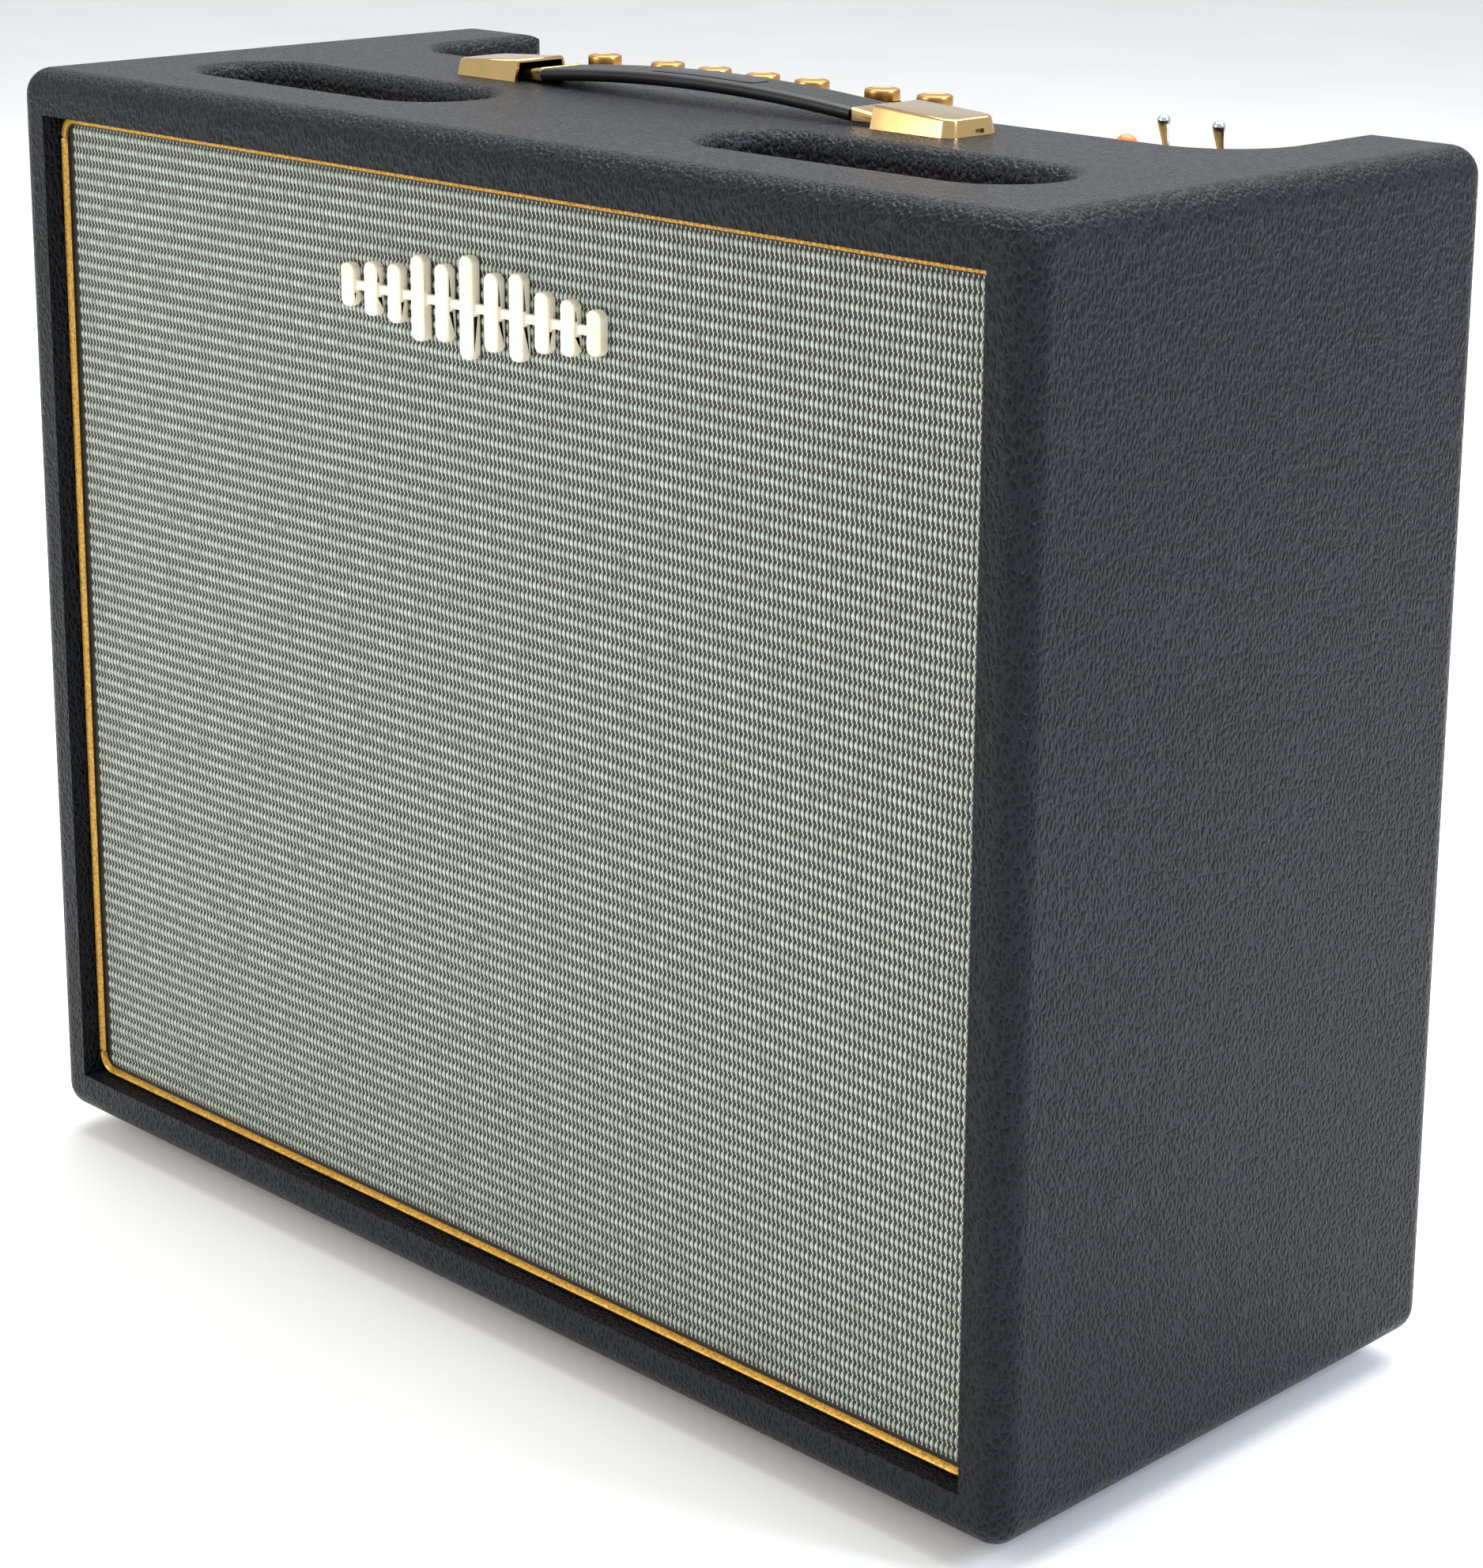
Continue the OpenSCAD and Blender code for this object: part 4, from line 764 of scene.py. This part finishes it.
# ---------------------------------------------------------------- signal lamp
# Amber polycarbonate jewel, lit from inside, in a turned and plated bezel.
amber, tree, shader = finish("amber_polycarbonate", "#ff7a14", Roughness=0.12, IOR=1.58)
shader.inputs["Transmission Weight"].default_value = 0.35
shader.inputs["Emission Color"].default_value = srgb("#ff6a10")
shader.inputs["Emission Strength"].default_value = 0.35
facets = add(tree, "TexVoronoi", {"Vector": coordinates(tree), "Scale": 520})
relief_of(tree, shader, facets, 0.15, 0.3)
dress("lamp_lens", amber)
nickel, tree, shader = finish("polished_nickel", "#c9ccce", Metallic=1.0, Roughness=0.14)
haze = add(tree, "TexNoise", {"Vector": coordinates(tree), "Scale": 160, "Detail": 4})
gloss(tree, shader, haze, 0.08, 0.24)
tint(tree, shader, haze, [(0.3, "#b9bcbf"), (0.7, "#d4d6d8")])
low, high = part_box("lamp_lens")
lamp_at = ((low.x + high.x) / 2, (low.y + high.y) / 2, panel_top)
bezel_line = [(6.6, 0.02), (8.2, 0.02), (8.3, 0.5), (7.9, 1.6), (7.1, 2.3), (6.6, 2.2), (6.6, 0.02)]
bezel = turned("lamp_bezel", bezel_line, lamp_at)
settle(bezel, nickel, "root", "nickel")

# ---------------------------------------------------------------- toggle switches
# Bat-handle switches, brass plated with nickel, their levers polished; the front hexagon nut
# clamps each to the panel.
dress("toggle_bushings", nickel)
lever_line = [(0, -2.4), (1.5, -2.0), (2.4, -0.7), (2.4, 0.7), (1.7, 1.9), (1.45, 2.8), (1.55, 6),
              (2.0, 9.5), (2.5, 13), (2.65, 14.8), (2.4, 15.9), (1.8, 16.6), (0.9, 16.95), (0, 17.0)]
lever_lean = math.radians(11)
for node, body in (("toggle_power", "power_lever"), ("toggle_standby", "standby_lever")):
    low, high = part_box(node)
    pivot = ((low.x + high.x) / 2, centres[0].y, panel_top + 5.5 * MM)
    lever = turned(f"bat_lever_{body}", lever_line, pivot, 48,
                   axis=(0, -math.sin(lever_lean), math.cos(lever_lean)))
    settle(lever, nickel, body, "nickel", node)

# ---------------------------------------------------------------- potentiometers and pull switch
# Pressed steel cans with brass bushes, nickelled; the pull switch's plunger is white acetal.
dress("potentiometers", zinc)
acetal, tree, shader = finish("white_acetal", "#e9e9e4", Roughness=0.4)
add(tree, "Bump", {"Height": add(tree, "TexNoise", {"Vector": coordinates(tree), "Scale": 900}),
                   "Distance": 0.03 * MM, "Strength": 0.3}, to=shader.inputs["Normal"])
dress("pull_plunger", acetal)

# ---------------------------------------------------------------- jack sockets and mains inlet
# Moulded nylon sockets with a plated hexagon nut and a black threaded nose; a moulded inlet with
# three nickelled pins.
nylon, tree, shader = finish("black_nylon", "#151516", Roughness=0.48)
speck = add(tree, "TexNoise", {"Vector": coordinates(tree), "Scale": 1400, "Detail": 3})
gloss(tree, shader, speck, 0.4, 0.6)
relief_of(tree, shader, speck, 0.04, 0.4)
rear_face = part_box("control_panel")[1].y
rear_jack_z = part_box("mains_inlet")[0].z + 13.5 * MM
front_jacks = [(-214 * MM, centres[0].y), (-186 * MM, centres[0].y)]
rear_jacks = [x * MM for x in (-120, -92, 0, 28)]


def nut_or_body(face):
    """1 for a face of a jack's hexagon nut, 0 for the rest of the socket."""
    c = face.center
    if c.z > panel_top - 0.1 * MM:
        off = min(math.hypot(c.x - x, c.y - y) for x, y in front_jacks)
        return 1 if c.z < panel_top + 3.1 * MM and off > 4.72 * MM else 0
    off = min(math.hypot(c.x - x, c.z - rear_jack_z) for x in rear_jacks)
    return 1 if rear_face - 0.1 * MM < c.y < rear_face + 3.1 * MM and off > 4.72 * MM else 0


dress("jack_sockets", nylon, nickel, choose=nut_or_body)
inlet_low, inlet_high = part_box("mains_inlet")
inlet_x = (inlet_low.x + inlet_high.x) / 2


def pin_or_body(face):
    c = face.center
    near = min(abs(c.x - inlet_x - pin * MM) for pin in (-7, 0, 7))
    within = abs(c.z - rear_jack_z) < 5.4 * MM
    return 1 if near < 1.1 * MM and within and inlet_low.y + 9 * MM < c.y < inlet_high.y else 0


dress("mains_inlet", nylon, nickel, choose=pin_or_body)

# ---------------------------------------------------------------- circuit board
# Glass-epoxy board with a green solder resist over its tracks, and sleeved capacitors below.
board_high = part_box("circuit_board")[1]
resist, tree, shader = finish("green_solder_resist", "#1d4a2c", Roughness=0.3)
at = add(tree, "Mapping", {"Vector": coordinates(tree), "Scale": (1, 1, 0)})
tracks = add(tree, "TexVoronoi", {"Vector": at, "Scale": 160}, feature="DISTANCE_TO_EDGE")
edge = add(tree, "MapRange", {"Value": tracks, "From Max": 0.09})
tint(tree, shader, edge, [(0.1, "#2f6b3d"), (0.9, "#173d24")])
relief_of(tree, shader, edge, 0.05, 0.5)
sleeve, tree, shader = finish("blue_capacitor_sleeve", "#1c2a55", Roughness=0.34)
band = add(tree, "TexNoise", {"Vector": coordinates(tree), "Scale": 120, "Detail": 2})
tint(tree, shader, band, [(0.3, "#16224a"), (0.7, "#233567")])
dress("circuit_board", resist, sleeve,
      choose=lambda face: 1 if face.center.z < board_high.z - 1.7 * MM else 0)

# ---------------------------------------------------------------- transformers
# Stacks of thin silicon-steel laminations, varnished, round a bobbin wound with enamelled wire
# and wrapped in cream tape, on a zinc-plated frame bolted under the chassis.
steel_stack, tree, shader = finish("varnished_laminations", "#3a3a3c", Metallic=0.7, Roughness=0.46)
at = coordinates(tree)
leaves = add(tree, "TexWave", {"Vector": at, "Scale": 320}, bands_direction="Y")
tint(tree, shader, leaves, [(0.2, "#252527"), (0.8, "#505053")])
relief_of(tree, shader, leaves, 0.12, 0.8)
coil_tape, tree, shader = finish("cream_winding_tape", "#b99a5f", Roughness=0.55)
laps = add(tree, "TexWave", {"Vector": coordinates(tree), "Scale": 70, "Distortion": 0.6},
           bands_direction="Z")
tint(tree, shader, laps, [(0.1, "#8f7338"), (0.5, "#c2a368"), (1.0, "#cdb27c")])
relief_of(tree, shader, laps, 0.1, 0.5)
for node in ("mains_transformer", "output_transformer"):
    low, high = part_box(node)
    middle_y, depth = (low.y + high.y) / 2, high.y - low.y

    def winding(face, middle_y=middle_y, depth=depth, high=high):
        if face.center.z > high.z - 2.05 * MM:
            return 2
        return 1 if abs(face.center.y - middle_y) > depth / 4 + 0.1 * MM else 0

    dress(node, steel_stack, coil_tape, zinc, choose=winding)

# ---------------------------------------------------------------- valves
# Ceramic sockets under the chassis. Soda-glass bulbs with a silvered getter at the tip hang from
# them; the two power valves have phenolic bases, and grey anodes show through the glass.
ceramic, tree, shader = finish("brown_phenolic_paper", "#4a3524", Roughness=0.5)
mottle = add(tree, "TexNoise", {"Vector": coordinates(tree), "Scale": 300, "Detail": 4})
tint(tree, shader, mottle, [(0.3, "#392818"), (0.7, "#5b432d")])
dress("valve_sockets", ceramic)
glass, tree, shader = finish("soda_glass", "#eef4f4", Roughness=0.03, IOR=1.5)
shader.inputs["Transmission Weight"].default_value = 0.92
streak = add(tree, "TexNoise", {"Vector": coordinates(tree), "Scale": 60})
relief_of(tree, shader, streak, 0.05, 0.2)
getter, tree, shader = finish("silvered_getter", "#9a9da0", Metallic=1.0, Roughness=0.2)
flash = add(tree, "TexNoise", {"Vector": coordinates(tree), "Scale": 120, "Detail": 3})
tint(tree, shader, flash, [(0.3, "#6f7376"), (0.7, "#b8bbbd")])
for node, base_h in (("power_valves", 14 * MM), ("preamp_valves", 2 * MM)):
    low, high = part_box(node)

    def glass_part(face, low=low, high=high, base_h=base_h):
        if face.center.z > high.z - base_h - 0.05 * MM:
            return 1
        return 2 if face.center.z < low.z + 7 * MM else 0

    dress(node, glass, phenolic, getter, choose=glass_part)

# the anodes: pressed plates inside the glass, on mica spacers
anode, tree, shader = finish("carbonised_nickel", "#4b4d50", Metallic=0.8, Roughness=0.5)
add(tree, "Bump", {"Height": add(tree, "TexNoise", {"Vector": coordinates(tree), "Scale": 700}),
                   "Distance": 0.05 * MM, "Strength": 0.5}, to=shader.inputs["Normal"])
VALVE_ROW = 80  # the valves' distance behind the middle of the cabinet
for kind, places, bottom, tall, wide in (
    ("power", (48, 104), 354, 44, 9.5), ("preamp", (-24, -66, -108), 387, 29, 6.2)
):
    mica, neck = wide * 1.25, wide * 0.9
    plate_line = [(0, 0), (mica, 0), (mica, 1), (neck, 1), (neck, 3), (wide, 3), (wide, tall - 3),
                  (neck, tall - 3), (neck, tall - 1), (mica, tall - 1), (mica, tall), (0, tall)]
    for place in places:
        plate = turned(f"{kind}_anode_{place}", plate_line, (place * MM, VALVE_ROW * MM, bottom * MM), 32)
        settle(plate, anode, "root", "valve_glass")

# ---------------------------------------------------------------- back panels
# Two plywood panels in the same vinyl as the shell, each screwed to the rear battens.
dress("upper_back_panel", levant)
dress("lower_back_panel", levant)

# ---------------------------------------------------------------- vent grille
# Perforated steel, black enamelled and baked, screwed over the opening behind the valves.
enamel, tree, shader = finish("black_stove_enamel", "#17181a", Roughness=0.36)
peel = add(tree, "TexNoise", {"Vector": coordinates(tree), "Scale": 520, "Detail": 3})
gloss(tree, shader, peel, 0.3, 0.45)
relief_of(tree, shader, peel, 0.05, 0.3)
dress("vent_grille", enamel)

# ---------------------------------------------------------------- speaker frame and magnet
# Pressed steel basket in grey enamel, its rim on a cork-paper gasket; a ceramic ring magnet
# between two zinc-plated steel plates, bonded together.
grey_enamel, tree, shader = finish("grey_basket_enamel", "#2c2e31", Roughness=0.42)
peel = add(tree, "TexNoise", {"Vector": coordinates(tree), "Scale": 420, "Detail": 3})
gloss(tree, shader, peel, 0.34, 0.52)
relief_of(tree, shader, peel, 0.06, 0.4)
dress("speaker_basket", grey_enamel)
cork, tree, shader = finish("cork_paper_gasket", "#6b5236", Roughness=0.85)
grains = add(tree, "TexVoronoi", {"Vector": coordinates(tree), "Scale": 600})
tint(tree, shader, grains, [(0.2, "#54402a"), (0.8, "#7d6343")])
relief_of(tree, shader, grains, 0.1, 0.5)
dress("speaker_gasket", cork)
ferrite, tree, shader = finish("sintered_ferrite", "#2a2a2c", Roughness=0.6)
pores = add(tree, "TexNoise", {"Vector": coordinates(tree), "Scale": 260, "Detail": 6})
tint(tree, shader, pores, [(0.3, "#1f1f21"), (0.7, "#37373a")])
relief_of(tree, shader, pores, 0.1, 0.6)
dress("magnet", ferrite)
dress("motor_plates", zinc)

# ---------------------------------------------------------------- speaker cone
# Pressed paper cone with a doped, corrugated cloth edge; the dust cap is glued over the voice
# coil, which is wound from copper wire and centred by a corrugated cloth spider.
paper, tree, shader = finish("pressed_cone_paper", "#26231f", Roughness=0.9)
at = coordinates(tree)
fibres = add(tree, "TexNoise", {"Vector": at, "Scale": 700, "Detail": 6, "Roughness": 0.7})
tint(tree, shader, fibres, [(0.3, "#1b1916"), (0.7, "#322e29")])
relief_of(tree, shader, fibres, 0.15, 0.6)
dress("cone", paper)
dress("dust_cap", paper)
doped, tree, shader = finish("doped_cloth_edge", "#1a1816", Roughness=0.5)
threads = add(tree, "TexVoronoi", {"Vector": coordinates(tree), "Scale": 1500})
gloss(tree, shader, threads, 0.4, 0.65)
relief_of(tree, shader, threads, 0.1, 0.6)
dress("surround", doped)
spider_cloth, tree, shader = finish("phenolic_spider_cloth", "#8a6a35", Roughness=0.7)
threads = add(tree, "TexVoronoi", {"Vector": coordinates(tree), "Scale": 1200})
tint(tree, shader, threads, [(0.2, "#6f5327"), (0.8, "#9d7c45")])
relief_of(tree, shader, threads, 0.1, 0.6)
dress("spider", spider_cloth)
copper, tree, shader = finish("enamelled_copper_wire", "#b8673a", Metallic=0.9, Roughness=0.3)
turns = add(tree, "TexWave", {"Vector": coordinates(tree), "Scale": 900}, bands_direction="Y")
tint(tree, shader, turns, [(0.1, "#8a4623"), (0.9, "#cf7c4a")])
relief_of(tree, shader, turns, 0.1, 0.7)
dress("voice_coil", copper)

# ---------------------------------------------------------------- speaker lead
# Two-core lead in a round black jacket, soldered to the output board at one end and to the
# speaker's tags at the other, and held by both ends, so it keeps its curve.
jacket, tree, shader = finish("black_pvc_jacket", "#1b1b1d", Roughness=0.4)
dull = add(tree, "TexNoise", {"Vector": coordinates(tree), "Scale": 300, "Detail": 3})
gloss(tree, shader, dull, 0.34, 0.5)
relief_of(tree, shader, dull, 0.05, 0.3)
dress("speaker_lead", jacket)
